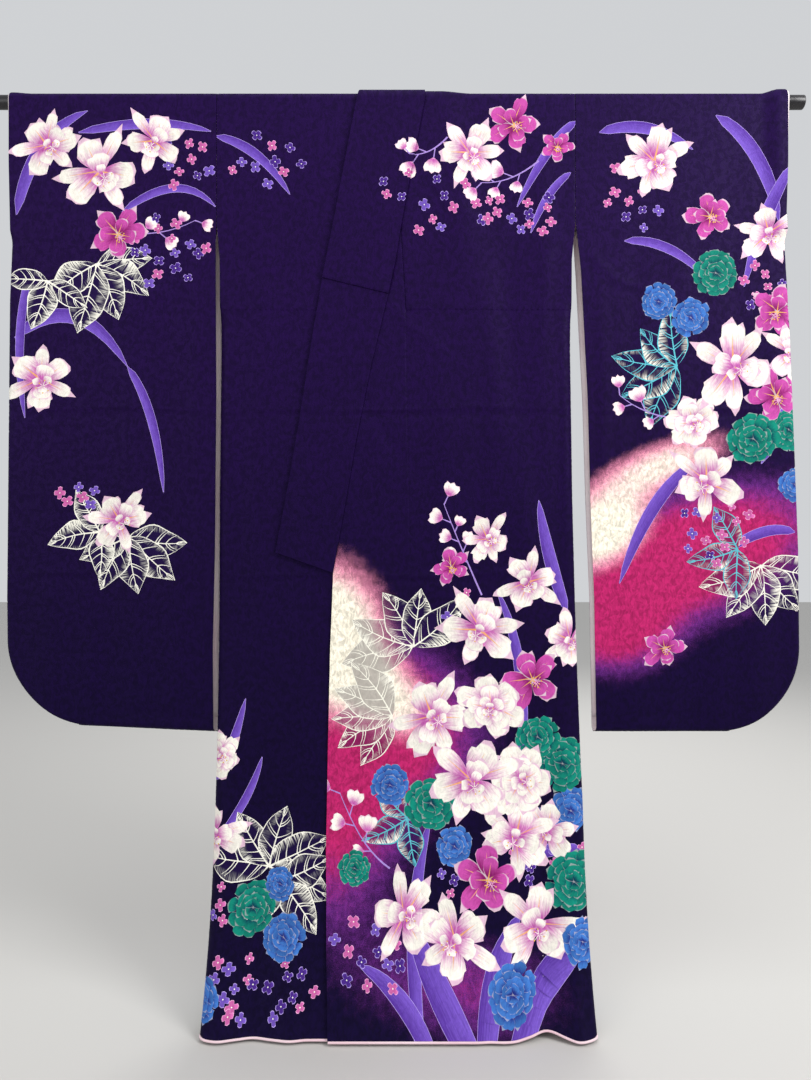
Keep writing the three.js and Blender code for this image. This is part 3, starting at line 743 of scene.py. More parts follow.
def drawRightSleeve(face):
    draw = Drawing(11 + face, face)
    blade(draw, (-664, 205), (-640, 60), (-540, 22), 22)
    blade(draw, (-556, 60), (-420, 30), (-324, 58), 17)
    blade(draw, (-480, 200), (-380, 120), (-316, 190), 14)
    blade(draw, (-668, 420), (-560, 320), (-470, 470), 24)
    blade(draw, (-470, 470), (-420, 540), (-408, 690), 15)
    blade(draw, (-640, 300), (-672, 420), (-650, 560), 15)
    leafSpray(draw, -524, 290, 1.2, 118, 5)
    leafSpray(draw, -610, 320, 1.9, 92, 3)
    budStem(draw, ((-500, 230), (-420, 250), (-352, 214)), 4)
    florets(draw, -400, 270, (74, 64), 16)
    florets(draw, -368, 110, (44, 60), 9)
    blooms(draw, [
        ("lily", -612, 82, 62, 0.4), ("camellia", -488, 236, 52, 1.0), ("lily", -424, 74, 58, 2.1),
        ("lily", -520, 128, 78, 0.9), ("lily", -622, 492, 66, 1.3),
    ])
    leafSpray(draw, -470, 768, 1.4, 106, 5)
    leafSpray(draw, -520, 760, 2.9, 96, 3)
    florets(draw, -560, 700, (36, 30), 6)
    blooms(draw, [("lily", -486, 738, 58, 0.7)])
    return draw.shapes


def drawLeftSleeve(face):
    draw = Drawing(21 + face, face)
    blade(draw, (356, 60), (440, 30), (520, 90), 20)
    blade(draw, (560, 30), (650, 80), (668, 220), 24)
    blade(draw, (690, 120), (640, 200), (610, 330), 20)
    blade(draw, (400, 250), (480, 240), (560, 330), 16)
    blade(draw, (520, 640), (440, 700), (392, 850), 22)
    blade(draw, (700, 760), (640, 740), (560, 810), 18)
    blade(draw, (700, 470), (690, 560), (640, 640), 20)
    leafSpray(draw, 492, 470, 3.3, 112, 5, "edge")
    leafSpray(draw, 640, 818, 1.5, 116, 5)
    leafSpray(draw, 600, 790, 2.9, 92, 3, "edge")
    budStem(draw, ((500, 560), (440, 560), (392, 520)), 4)
    florets(draw, 420, 160, (60, 70), 12)
    florets(draw, 640, 330, (44, 40), 8)
    florets(draw, 560, 760, (70, 60), 14)
    blooms(draw, [
        ("teal", 688, 580, 38, 0.2), ("blue", 700, 676, 32, 0.9), ("blue", 460, 356, 34, 0.3),
        ("camellia", 548, 206, 46, 0.5), ("lily", 452, 110, 68, 0.8), ("teal", 560, 306, 43, 0.6),
        ("camellia", 668, 372, 52, 2.0), ("lily", 652, 236, 58, 1.2), ("blue", 516, 384, 36, 0.8),
        ("camellia", 664, 520, 54, 1.0), ("peony", 520, 566, 52, 0.8), ("lily", 696, 446, 60, 2.2),
        ("lily", 590, 470, 84, 0.3), ("teal", 626, 596, 48, 1.1), ("lily", 546, 672, 68, 2.4),
        ("camellia", 470, 962, 40, 0.9),
    ])
    return draw.shapes


def drawLeftFront():
    draw = Drawing(31)
    # chest spray
    blade(draw, (316, 40), (270, 70), (212, 190), 16)
    blade(draw, (306, 130), (262, 160), (236, 236), 13)
    budStem(draw, ((250, 110), (200, 150), (150, 148)), 5)
    budStem(draw, ((90, 70), (58, 104), (24, 100)), 4)
    florets(draw, 66, 170, (110, 70), 17)
    florets(draw, 220, 200, (70, 40), 12)
    blooms(draw, [("camellia", 204, 46, 48, 0.4), ("lily", 128, 96, 64, 0.9), ("camellia", 282, 84, 30, 1.4)])
    # bouquet from the overlap's edge to the side seam
    blade(draw, (300, 900), (262, 800), (250, 704), 22)
    blade(draw, (216, 1180), (236, 980), (176, 860), 18)
    blade(draw, (44, 1600), (10, 1400), (60, 1250), 22)
    blade(draw, (150, 1630), (60, 1500), (20, 1400), 40)
    blade(draw, (176, 1630), (240, 1470), (318, 1440), 44)
    blade(draw, (140, 1620), (150, 1470), (210, 1400), 36)
    blade(draw, (70, 1610), (20, 1500), (-60, 1470), 26)
    blade(draw, (316, 1300), (250, 1290), (190, 1350), 20)
    leafSpray(draw, 30, 960, 4.2, 122, 5, "white")
    leafSpray(draw, -6, 1080, 3.1, 120, 5, "white", 1.9)
    leafSpray(draw, 20, 1250, 2.7, 92, 3, "edge")
    budStem(draw, ((150, 870), (110, 780), (84, 712)), 6)
    budStem(draw, ((-10, 1330), (-60, 1300), (-96, 1210)), 5)
    florets(draw, 254, 1300, (70, 60), 16)
    florets(draw, -40, 1450, (66, 70), 14)
    florets(draw, 120, 1340, (60, 40), 9)
    florets(draw, 130, 920, (60, 60), 9)
    blooms(draw, [
        ("blue", -10, 1196, 36, 0.4), ("blue", 300, 1238, 40, 0.8), ("teal", 288, 1160, 48, 0.5),
        ("camellia", 96, 820, 36, 1.2), ("lily", 160, 772, 46, 0.5), ("lily", 232, 846, 58, 1.6),
        ("lily", 304, 948, 56, 0.9), ("camellia", 236, 1016, 56, 0.6), ("lily", 148, 930, 72, 2.2),
        ("lily", 62, 1080, 74, 0.7), ("teal", 246, 1116, 40, 1.4), ("peony", 166, 1062, 62, 1.9),
        ("lily", 262, 1272, 56, 2.8), ("lily", 206, 1280, 72, 2.0), ("peony", 214, 1190, 64, 0.2),
        ("teal", 60, 1226, 48, 0.9), ("lily", 128, 1186, 82, 1.1),
        ("blue", 100, 1296, 34, 0.3), ("teal", 300, 1350, 50, 0.7), ("camellia", 154, 1346, 58, 0.8),
        ("lily", 14, 1400, 66, 0.4), ("lily", 236, 1420, 74, 1.3), ("blue", 310, 1440, 36, 0.2),
        ("lily", 98, 1436, 72, 2.3), ("blue", 190, 1510, 44, 0.6), ("teal", -70, 1330, 30, 0.3),
    ])
    return draw.shapes


def drawRightFront():
    draw = Drawing(41)
    blade(draw, (-316, 66), (-240, 80), (-186, 168), 16)
    florets(draw, -226, 108, (66, 52), 10)
    blade(draw, (-312, 1190), (-286, 1150), (-262, 1050), 16)
    blade(draw, (-300, 1280), (-250, 1220), (-232, 1150), 13)
    leafSpray(draw, -216, 1330, 5.0, 118, 5, "white", 3.4)
    leafSpray(draw, -196, 1350, 0.9, 104, 3)
    florets(draw, -270, 1500, (44, 52), 12)
    florets(draw, -176, 1510, (46, 44), 9)
    florets(draw, -300, 1384, (20, 40), 5)
    blooms(draw, [
        ("peony", -306, 1148, 42, 0.7), ("lily", -312, 1276, 56, 1.5), ("teal", -240, 1392, 44, 0.5),
        ("blue", -186, 1434, 38, 1.0), ("blue", -196, 1356, 28, 0.2), ("blue", -316, 1520, 34, 0.4),
    ])
    return draw.shapes


def drawBack(name):
    draw = Drawing(51, -1) if name == "left" else Drawing(53, -1)
    # Shoulder spray and hem bouquet of one half. Both halves are painted across the middle seam.
    if name == "left":
        blade(draw, (316, 60), (250, 90), (190, 210), 18)
        blade(draw, (300, 1250), (262, 1080), (290, 960), 22)
        blade(draw, (150, 1620), (190, 1440), (300, 1400), 36)
        blade(draw, (60, 1620), (40, 1440), (110, 1330), 26)
        leafSpray(draw, 120, 1180, 4.4, 116, 5)
        leafSpray(draw, 200, 180, 1.6, 96, 3)
        leafSpray(draw, 250, 1120, 5.2, 100, 3, "edge")
        florets(draw, 160, 150, (110, 80), 16)
        florets(draw, 130, 1450, (100, 80), 18)
        budStem(draw, ((180, 1120), (150, 1020), (170, 930)), 5)
        blooms(draw, [
            ("camellia", 250, 190, 46, 0.8), ("lily", 190, 96, 66, 0.5), ("blue", 286, 116, 30, 0.4),
            ("lily", 240, 1200, 72, 0.9), ("teal", 150, 1240, 44, 0.3), ("camellia", 268, 1320, 50, 1.3),
            ("peony", 180, 1350, 66, 0.4), ("blue", 90, 1360, 38, 0.9), ("peony", 90, 1456, 54, 1.9),
            ("teal", 236, 1452, 46, 0.6), ("blue", 290, 1520, 36, 0.2),
        ])
    else:
        blade(draw, (-316, 70), (-250, 60), (-170, 130), 18)
        blade(draw, (-250, 1620), (-220, 1440), (-280, 1320), 30)
        blade(draw, (-60, 1620), (-90, 1420), (-30, 1300), 26)
        leafSpray(draw, -190, 1290, 4.2, 118, 5)
        leafSpray(draw, -120, 1400, 5.6, 104, 3, "edge")
        florets(draw, -210, 150, (90, 70), 12)
        florets(draw, -200, 1490, (90, 60), 16)
        florets(draw, -60, 1250, (50, 60), 9)
        blooms(draw, [
            ("peony", -250, 90, 52, 0.7), ("lily", -230, 1390, 72, 0.8), ("teal", -140, 1440, 46, 0.4),
            ("blue", -180, 1520, 40, 0.9), ("camellia", -60, 1380, 48, 0.6), ("peony", -56, 1480, 58, 1.2),
            ("blue", -290, 1470, 36, 0.3),
        ])
    return draw.shapes


# Sprayed glow under the flowers: middle, reach across and down, turn, strength. The first list
# is the crimson that spreads widest, the second is the cream in its middle.
glows = {
    "leftFront": (
        [(-118, 1150, 150, 270, 0.0, 1.25), (20, 1100, 170, 150, 0.4, 0.75), (120, 1500, 200, 90, 0.1, 0.5)],
        [(-122, 940, 120, 150, -0.2, 1.35), (-10, 1050, 130, 70, 0.6, 0.8)],
    ),
    "leftSleeve": (
        [(520, 800, 250, 120, -0.28, 1.3), (380, 930, 120, 90, 0.0, 0.9)],
        [(360, 760, 110, 70, -0.5, 1.2), (470, 640, 150, 50, -0.35, 0.8)],
    ),
    "leftSleeveBack": ([(540, 860, 220, 110, -0.2, 1.1)], [(400, 820, 110, 70, -0.4, 1.0)]),
    "back": ([(150, 1290, 210, 170, 0.2, 1.1), (-150, 1440, 190, 110, 0.0, 0.8)],
             [(110, 1170, 120, 80, 0.3, 0.8), (-170, 1350, 90, 50, 0.0, 0.6)]),
}


def glowAt(spots, x, down):
    out = np.zeros_like(x)
    for middleX, middleDown, wide, tall, turn, strength in spots:
        c, s = math.cos(turn), math.sin(turn)
        dx, dd = x - middleX, down - middleDown
        across, along = (c * dx + s * dd) / wide, (c * dd - s * dx) / tall
        out += strength * np.exp(-1.4 * (across ** 2 + along ** 2))
    return np.clip(out, 0, 1.3)


# Building the cloth

def triangulated(points, faces):
    made = geometry.delaunay_2d_cdt([tuple(p) for p in points], [], faces, 0, 0.004, True)
    return np.array([tuple(p) for p in made[0]]), made[2], made[5]


def onlyUsed(points, triangles):
    used, triangles = np.unique(np.array(triangles), return_inverse=True)
    return points[used], triangles.reshape(-1, 3)


def loopOf(triangles):
    # The outline's points in order, from the sides that only one triangle has.
    following = set()
    for a, b, c in triangles:
        for p, q in ((a, b), (b, c), (c, a)):
            if (q, p) in following:
                following.remove((q, p))
            else:
                following.add((p, q))
    following = dict(following)
    first = next(iter(following))
    loop, here = [first], following[first]
    while here != first and len(loop) <= len(following):
        loop.append(here)
        here = following[here]
    return loop


def holds(rim, x, run):
    inside = False
    px, pr = rim[-1]
    for qx, qr in rim:
        if (pr > run) != (qr > run) and x < (qx - px) * (run - pr) / (qr - pr) + px:
            inside = not inside
        px, pr = qx, qr
    return inside


def ordered(points):
    return points if flatArea(np.array(points)) > 0 else points[::-1]


wall = {"out": 0.7, "in": 0.5, "outerEvery": 9.0, "innerEvery": 17.0}


def clothPiece(name, outline, place, shapes=(), glow=None, sharpRows=(), dips=()):
    # One panel: a dyed outer face cut along its motifs, a plain inner face and a rim between.
    bands = (0.5, 1.4, 2.8, 4.8, 7.6)
    edge = np.array(ordered([tuple(p) for p in dense(outline, 6.0)]))
    field = fillPoints(edge, wall["outerEvery"], bands, sharpRows)
    low, high = edge.min(axis=0), edge.max(axis=0)
    used = [s for s in shapes
            if np.all(s["points"].max(axis=0) > low) and np.all(s["points"].min(axis=0) < high)]
    spots, faces = [edge, field], [list(range(len(edge)))]
    count = len(edge) + len(field)
    for shape in used:
        rim = np.array(ordered([tuple(p) for p in shape["points"]]))
        spots.append(rim)
        faces.append(list(range(count, count + len(rim))))
        count += len(rim)
    flat, triangles, owners = triangulated(np.concatenate(spots), faces)
    rims = [None] + [s["points"].tolist() for s in used]
    lows = [low.tolist()] + [s["points"].min(axis=0).tolist() for s in used]
    highs = [high.tolist()] + [s["points"].max(axis=0).tolist() for s in used]
    triangles = np.array(triangles)
    middles = flat[triangles].mean(axis=1)
    kept, tops = [], []
    for triangle, middle, owner in zip(triangles, middles.tolist(), owners):
        if 0 not in owner:
            continue
        mx, my = middle
        for top in sorted(owner, reverse=True):
            if lows[top][0] <= mx <= highs[top][0] and lows[top][1] <= my <= highs[top][1]:
                if not top or holds(rims[top], mx, my):
                    break
        kept.append(triangle)
        tops.append(top)
    tops = np.array(tops)
    flat, kept = onlyUsed(flat, kept)
    loop = loopOf(kept.tolist())

    inner = fillPoints(flat[loop], wall["innerEvery"], (3.0, 8.0), sharpRows)
    backFlat, backTriangles, backOwners = triangulated(
        np.concatenate([flat[loop], inner]), [list(range(len(loop)))])
    backFlat, backKept = onlyUsed(backFlat, [t for t, owner in zip(backTriangles, backOwners) if owner])

    def shaped(x, run):
        points = place(x, run)
        if dips:
            down = np.maximum(np.abs(run) - arc, 0) * np.sign(run)
            sunk = creasesAt(dips, x, down, fading=False)
            points[:, 1] -= sunk * np.where(run > 0, 1, -1)
        return points
    middle = shaped(flat[:, 0], flat[:, 1])
    outward = facing(shaped, flat[:, 0], flat[:, 1])
    backMiddle = shaped(backFlat[:, 0], backFlat[:, 1])
    backOutward = facing(shaped, backFlat[:, 0], backFlat[:, 1])
    outer = middle + outward * wall["out"]
    innerFace = backMiddle - backOutward * wall["in"]
    shift = len(outer)
    n = len(loop)
    rim = []
    for k in range(n):
        a, b = loop[k], loop[(k + 1) % n]
        rim.append((a, b, shift + (k + 1) % n))
        rim.append((a, shift + (k + 1) % n, shift + k))
    allFaces = np.concatenate([kept[:, ::-1], backKept + shift, np.array(rim)])
    points = np.concatenate([outer, innerFace]) * metre
    mesh = bpy.data.meshes.new(name)
    mesh.from_pydata(points.tolist(), [], allFaces.tolist())
    dressed(mesh, allFaces, kept, tops, used, np.concatenate([flat, backFlat]), glow, len(backKept))
    mesh.normals_split_custom_set_from_vertices(np.concatenate([outward, -backOutward]).tolist())
    piece = placed(name, mesh)
    piece["cutArea"] = abs(flatArea(edge)) * 1e-6
    print(name, len(allFaces), "triangles,", len(used), "shapes")
    return piece


def dressed(mesh, faces, kept, tops, used, flat, glow, lined):
    # Attributes that the dyed cloth's material reads, one value for each corner.
    corners = len(faces) * 3
    petal = np.zeros((corners, 3))
    inner = np.zeros((corners, 4))
    outer = np.zeros((corners, 4))
    table = [{"kind": 0, "inner": (0, 0, 0), "outer": (0, 0, 0), "base": (0, 0), "ahead": (1, 0),
              "length": 1, "half": 1, "seed": 0, "rim": 1}] + list(used)
    base, ahead = (np.array([s[key] for s in table], float) for key in ("base", "ahead"))
    length, half, kind, seed, rim = (np.array([s[key] for s in table], float)
                                     for key in ("length", "half", "kind", "seed", "rim"))
    innerDye, outerDye = (np.array([s[key] for s in table], float) for key in ("inner", "outer"))
    owner = np.repeat(tops, 3)
    spot = flat[kept[:, ::-1].reshape(-1)] - base[owner]
    dyed = len(owner)
    along, across = ahead[owner], ahead[owner][:, ::-1] * (-1, 1)
    petal[:dyed, 0] = (spot * along).sum(axis=1) / length[owner]
    petal[:dyed, 1] = (spot * across).sum(axis=1) / half[owner]
    petal[:dyed, 2] = kind[owner]
    inner[:dyed, :3], inner[:dyed, 3] = innerDye[owner], seed[owner]
    outer[:dyed, :3], outer[:dyed, 3] = outerDye[owner], rim[owner]
    for key, kindOf, values in (("petal", "FLOAT_VECTOR", petal), ("innerDye", "FLOAT_COLOR", inner),
                                ("outerDye", "FLOAT_COLOR", outer)):
        field = mesh.attributes.new(key, kindOf, "CORNER")
        field.data.foreach_set("vector" if kindOf == "FLOAT_VECTOR" else "color", values.ravel())
    down = np.maximum(np.abs(flat[:, 1]) - arc, 0)
    spread = np.zeros((len(flat), 3))
    # The third value is the drop, which the material uses for the ground's painted shade, darker towards the
    # hem.
    spread[:, 2] = down / hang["hem"]
    if glow:
        for face, key in ((1, glow[0]), (-1, glow[1])):
            if key:
                here = flat[:, 1] * face > 0
                spread[:, 0] += np.where(here, glowAt(glows[key][0], flat[:, 0], down), 0)
                spread[:, 1] += np.where(here, glowAt(glows[key][1], flat[:, 0], down), 0)
    mesh.attributes.new("glow", "FLOAT_VECTOR", "POINT").data.foreach_set("vector", spread.ravel())
    layout = mesh.uv_layers.new(name="flat")
    layout.data.foreach_set("uv", (flat[faces.reshape(-1)] * metre).ravel())
    mesh.polygons.foreach_set("use_smooth", np.ones(len(faces), bool))
    slots = np.zeros(len(faces), np.int32)
    slots[len(kept):len(kept) + lined] = 1
    mesh.polygons.foreach_set("material_index", slots)


def stripPiece(name, middle, outward, shape, thickness):
    rows, columns = shape
    top, under = middle + outward * thickness / 2, middle - outward * thickness / 2
    shift = rows * columns
    faces = []
    for i in range(rows - 1):
        for j in range(columns - 1):
            p, q = i * columns + j, (i + 1) * columns + j
            faces += [(p, p + 1, q + 1, q), (shift + p, shift + q, shift + q + 1, shift + p + 1)]
    rim = [j for j in range(columns)] + [i * columns + columns - 1 for i in range(1, rows)]
    rim += [(rows - 1) * columns + j for j in range(columns - 2, -1, -1)]
    rim += [i * columns for i in range(rows - 2, 0, -1)]
    for k, p in enumerate(rim):
        q = rim[(k + 1) % len(rim)]
        faces.append((q, p, shift + p, shift + q))
    mesh = bpy.data.meshes.new(name)
    mesh.from_pydata((np.concatenate([top, under]) * metre).tolist(), [], faces)
    mesh.polygons.foreach_set("use_smooth", np.ones(len(faces), bool))
    sides = middle.reshape(rows, columns, 3)
    flip = np.cross(sides[0, 1] - sides[0, 0], sides[1, 0] - sides[0, 0])
    if np.dot(flip, outward[0]) < 0:
        mesh.flip_normals()
    piece = placed(name, mesh)
    wide = np.linalg.norm(np.diff(sides, axis=1), axis=2).sum(axis=1)
    tall = np.linalg.norm(np.diff(sides, axis=0), axis=2).sum(axis=0)
    piece["cutArea"] = float(wide.mean() * tall.mean()) * 1e-6
    return piece


# Materials

class Field:
    # A value in a material's tree: + - * / and ** add the Math nodes.
    def __init__(self, tree, socket):
        self.tree, self.socket = tree, socket

    def math(self, how, other, flipped=False):
        pair = (other, self) if flipped else (self, other)
        return self.tree.add("ShaderNodeMath", {"operation": how}, pair)

    def __add__(self, other): return self.math("ADD", other)
    def __radd__(self, other): return self.math("ADD", other, True)
    def __sub__(self, other): return self.math("SUBTRACT", other)
    def __rsub__(self, other): return self.math("SUBTRACT", other, True)
    def __mul__(self, other): return self.math("MULTIPLY", other)
    def __rmul__(self, other): return self.math("MULTIPLY", other, True)
    def __truediv__(self, other): return self.math("DIVIDE", other)
    def __pow__(self, other): return self.math("POWER", other)

    def over(self, limit): return self.math("GREATER_THAN", limit)
    def under(self, limit): return self.math("LESS_THAN", limit)
    def size(self): return self.tree.add("ShaderNodeMath", {"operation": "ABSOLUTE"}, [self])
    def wave(self): return self.tree.add("ShaderNodeMath", {"operation": "SINE"}, [self])
    def held(self): return self.tree.add("ShaderNodeClamp", {}, [self])

    def ease(self, low, high):
        return self.tree.add("ShaderNodeMapRange", {"interpolation_type": "SMOOTHSTEP"},
                             [self, low, high, 0.0, 1.0])


class Finish:
    def __init__(self, name, colour, roughness, metallic=0.0):
        self.material = bpy.data.materials.new(name)
        self.material.use_nodes = True
        self.nodes = self.material.node_tree.nodes
        self.links = self.material.node_tree.links
        self.shader = self.nodes["Principled BSDF"]
        self.shader.inputs["Base Color"].default_value = (*colour, 1)
        self.shader.inputs["Roughness"].default_value = roughness
        self.shader.inputs["Metallic"].default_value = metallic
        self.material.diffuse_color = (*colour, 1)

    def add(self, kind, settings, values, output=0):
        node = self.nodes.new(kind)
        for key, value in settings.items():
            setattr(node, key, value)
        pairs = values.items() if isinstance(values, dict) else enumerate(values)
        for key, value in pairs:
            self.feed(node.inputs[key], value)
        return Field(self, node.outputs[output])

    def feed(self, socket, value):
        if isinstance(value, Field):
            self.links.new(value.socket, socket)
        elif value is not None:
            if isinstance(value, tuple) and len(value) == 3 and socket.type == "RGBA":
                value = (*value, 1)
            socket.default_value = value

    def mix(self, share, first, second, blend="MIX"):
        return self.add("ShaderNodeMix", {"data_type": "RGBA", "blend_type": blend},
                        {0: share, 6: first, 7: second}, 2)

    def grey(self, value):
        return self.add("ShaderNodeCombineColor", {}, [value, value, value])

    def noise(self, where, scale, detail=2.0, rough=0.5):
        return self.add("ShaderNodeTexNoise", {}, {"Vector": where, "Scale": scale, "Detail": detail,
                                                   "Roughness": rough})

    def stretched(self, where, scale, turn=0.0):
        return self.add("ShaderNodeMapping", {}, {"Vector": where, "Scale": scale,
                                                  "Rotation": (0.0, 0.0, turn)})

    def attribute(self, name, output):
        node = self.nodes.new("ShaderNodeAttribute")
        node.attribute_name = name
        return Field(self, node.outputs[output])

    def parts(self, vector):
        node = self.nodes.new("ShaderNodeSeparateXYZ")
        self.feed(node.inputs[0], vector)
        return [Field(self, out) for out in node.outputs]

    def vector(self, *parts):
        return self.add("ShaderNodeCombineXYZ", {}, parts)

    def flatUv(self):
        return self.add("ShaderNodeUVMap", {"uv_map": "flat"}, {})

    def objectSpot(self):
        node = self.nodes.new("ShaderNodeTexCoord")
        return Field(self, node.outputs["Object"])

    def bump(self, height, distance, strength=1.0):
        out = self.add("ShaderNodeBump", {}, {"Height": height, "Distance": distance, "Strength": strength})
        self.feed(self.shader.inputs["Normal"], out)


# The ground's top and low colours are painted shade: lighter at the top of the garment, darker towards the
# hem.
silkLook = {
    "top": dye(28, 4, 59),
    "low": dye(12, 2, 41),
    "sheen": 0.012,
    "sheenTint": dye(180, 130, 235),
    "specular": 0.07,
    "crimson": dye(182, 36, 100),
    "purple": dye(104, 40, 128),
    "rosy": dye(232, 138, 170),
    "cream": dye(248, 240, 220),
}


def weaveOf(finish, where):
    # Woven pattern: soft leafy patches of satin on crepe, and the crepe's own fine grain.
    bent = finish.add("ShaderNodeTexNoise", {}, {"Vector": where, "Scale": 42.0, "Detail": 2.0}, 1)
    pushed = finish.add("ShaderNodeVectorMath", {"operation": "MULTIPLY_ADD"},
                        [bent, (0.020, 0.020, 0.0), where])
    patches = finish.noise(pushed, 95.0, 2.0, 0.55).ease(0.44, 0.56)
    veins = finish.noise(finish.stretched(pushed, (1.0, 0.32, 1.0), 0.7), 260.0, 2.0, 0.6).ease(0.38, 0.62)
    crepe = finish.noise(finish.stretched(where, (1.0, 0.55, 1.0)), 1500.0, 1.0, 0.6)
    return patches, veins, crepe


def dyedSilk():
    finish = Finish("dyed_silk", silkLook["top"], 0.6)
    shader = finish.shader.inputs
    for key, value in (("Sheen Weight", silkLook["sheen"]), ("Sheen Roughness", 0.45),
                       ("Sheen Tint", silkLook["sheenTint"]), ("Specular IOR Level", silkLook["specular"])):
        finish.feed(shader[key], value)
    where = finish.flatUv()
    patches, veins, crepe = weaveOf(finish, where)
    crimson, cream, down = finish.parts(finish.attribute("glow", "Vector"))
    along, across, kind = finish.parts(finish.attribute("petal", "Vector"))
    innerDye = finish.attribute("innerDye", "Color")
    seed = finish.attribute("innerDye", "Alpha")
    outerDye = finish.attribute("outerDye", "Color")
    rimLight = finish.attribute("outerDye", "Alpha")

    # painted shade: the ground grows darker from the top down to the hem
    ground = finish.mix(down.ease(0.05, 0.95), silkLook["top"], silkLook["low"])
    drift = finish.noise(where, 6.0, 3.0)
    ground = finish.mix(1.0, ground, finish.grey(0.86 + 0.28 * drift), "MULTIPLY")

    # sprayed glow: purple, crimson, rose and cream one inside the other, with a grain of droplets
    droplets = finish.noise(where, 900.0, 1.0, 0.7) - 0.5
    blots = finish.noise(where, 60.0, 3.0, 0.6) - 0.5
    red = crimson + droplets * 0.9 * (crimson * 2.0).held() + blots * 0.25
    pale = cream + droplets * 0.7 * (cream * 2.0).held() + blots * 0.2
    glowing = finish.mix(red.ease(0.16, 0.52), ground, silkLook["purple"])
    glowing = finish.mix(red.ease(0.40, 0.86), glowing, silkLook["crimson"])
    glowing = finish.mix(pale.ease(0.22, 0.62), glowing, silkLook["rosy"])
    glowing = finish.mix(pale.ease(0.45, 0.95), glowing, silkLook["cream"])

    # petals: dye runs from the heart to the rim along fine veins
    grain = finish.vector(along * 1.6, across * 5.0, seed * 40.0)
    streaks = finish.noise(grain, 2.2, 3.0, 0.6)
    fine = finish.noise(finish.vector(along * 1.2, across * 16.0, seed * 40.0),
                        2.0, 2.0, 0.5)
    reach = along + (streaks - 0.5) * 0.5 + (fine - 0.5) * 0.3
    petal = finish.mix(reach.ease(0.16, 0.80), innerDye, outerDye)
    shade = 0.84 + 0.16 * along.ease(0.1, 0.6) - 0.08 * fine.under(0.42) * along.under(0.85)
    petal = finish.mix(1.0, petal, finish.grey(shade), "MULTIPLY")
    rimNear = (((along - 0.53) / 0.47) ** 2.0 + (across / (0.4 + 0.6 * along)) ** 2.0) ** 0.5
    petalLine = finish.mix(rimLight, innerDye, (0.93, 0.90, 0.88))
    petal = finish.mix(rimNear.ease(0.86, 0.98) * 0.7, petal, petalLine)
    rib = kind.under(0.9) * across.size().under(0.07 - 0.09 * along) * along.over(0.02)
    petal = finish.mix(rib * 0.8, petal, dyes["throat"])

    # line-drawn leaves: ground inside, pale strokes running in from the rim
    inward = across.size() / ((along.held() ** 0.85 * math.pi).wave().math("MAXIMUM", 0.08))
    hatch = finish.noise(finish.vector(along * 60.0, across * 1.0, seed * 9.0),
                         1.0, 1.0, 0.5)
    patch = finish.noise(finish.vector(along * 2.2, across * 0.8, seed * 21.0), 1.0)
    strokes = (inward - 0.40).held() * 2.0 * hatch.ease(0.35, 0.62) * patch.ease(0.36, 0.62)
    leafGround = finish.mix(0.5, glowing, outerDye)
    leaf = finish.mix(strokes.held(), leafGround, innerDye)

    # blades: dark along one side, light along the other, with streaks
    streak = finish.noise(finish.vector(along * 3.0, across * 7.0, seed * 30.0),
                          1.5, 2.0, 0.6)
    bladeColour = finish.mix((across * 0.42 + 0.5 + (streak - 0.5) * 1.1).held(), innerDye, outerDye)

    colour = finish.mix(kind.over(0.5), glowing, petal)
    colour = finish.mix(kind.over(1.5), colour, leaf)
    colour = finish.mix(kind.over(2.5), colour, innerDye)
    colour = finish.mix(kind.over(4.5), colour, bladeColour)
    lit = 0.95 + 0.08 * patches + 0.10 * (veins - 0.5) + 0.20 * (crepe - 0.5)
    dark = kind.under(0.5) * (0.16 * (patches - 0.5) + 0.18 * (veins - 0.5))
    colour = finish.mix(1.0, colour, finish.grey(lit + dark), "MULTIPLY")
    finish.feed(shader["Base Color"], colour)
    gilt = (kind.over(2.5) * kind.under(3.5)).held()
    finish.feed(shader["Metallic"], gilt * 0.12)
    finish.feed(shader["Roughness"], 0.64 - 0.10 * patches - gilt * 0.16 + 0.06 * (crepe - 0.5))
    finish.bump(patches * 0.35 + veins * 0.25 + crepe * 0.5 + gilt * 0.4, 0.00032, 0.55)
    return finish.material


def plainSilk(name, colour, shade, roughness=0.5):
    finish = Finish(name, colour, roughness)
    finish.shader.inputs["Sheen Weight"].default_value = 0.25
    where = finish.objectSpot()
    threads = finish.noise(finish.stretched(where, (1.0, 1.0, 0.12)), 2600.0, 1.0)
    slubs = finish.noise(finish.stretched(where, (0.06, 1.0, 1.0)), 900.0, 2.0)
    drift = finish.noise(where, 9.0, 3.0)
    colourNow = finish.mix((drift * 0.7 + slubs * 0.3).ease(0.3, 0.75), colour, shade)
    finish.feed(finish.shader.inputs["Base Color"], colourNow)
    finish.feed(finish.shader.inputs["Roughness"], roughness - 0.08 + 0.16 * threads)
    finish.bump(threads * 0.6 + slubs * 0.4, 0.0002, 0.4)
    return finish.material


def blackSatin():
    finish = Finish("black_satin", dye(30, 28, 32), 0.34)
    where = finish.objectSpot()
    dust = finish.noise(where, 40.0, 4.0, 0.6)
    scuffs = finish.noise(finish.stretched(where, (0.05, 1.0, 1.0)), 700.0, 2.0).ease(0.6, 0.72)
    colour = finish.mix((dust.ease(0.5, 0.8) * 0.25 + scuffs * 0.2).held(), dye(24, 22, 26), dye(74, 72, 76))
    finish.feed(finish.shader.inputs["Base Color"], colour)
    finish.feed(finish.shader.inputs["Roughness"], 0.28 + 0.16 * dust + 0.12 * scuffs)
    finish.bump(finish.noise(where, 160.0, 2.0), 0.0002, 0.25)
    return finish.material


silk = dyedSilk()
paleLining = plainSilk("pale_lining", dye(240, 230, 230), dye(228, 208, 214))
pinkLining = plainSilk("pink_lining", dye(232, 170, 190), dye(222, 140, 168))
rolledEdge = plainSilk("rolled_edge", dye(240, 214, 220), dye(228, 186, 198), 0.55)
rodFinish = blackSatin()


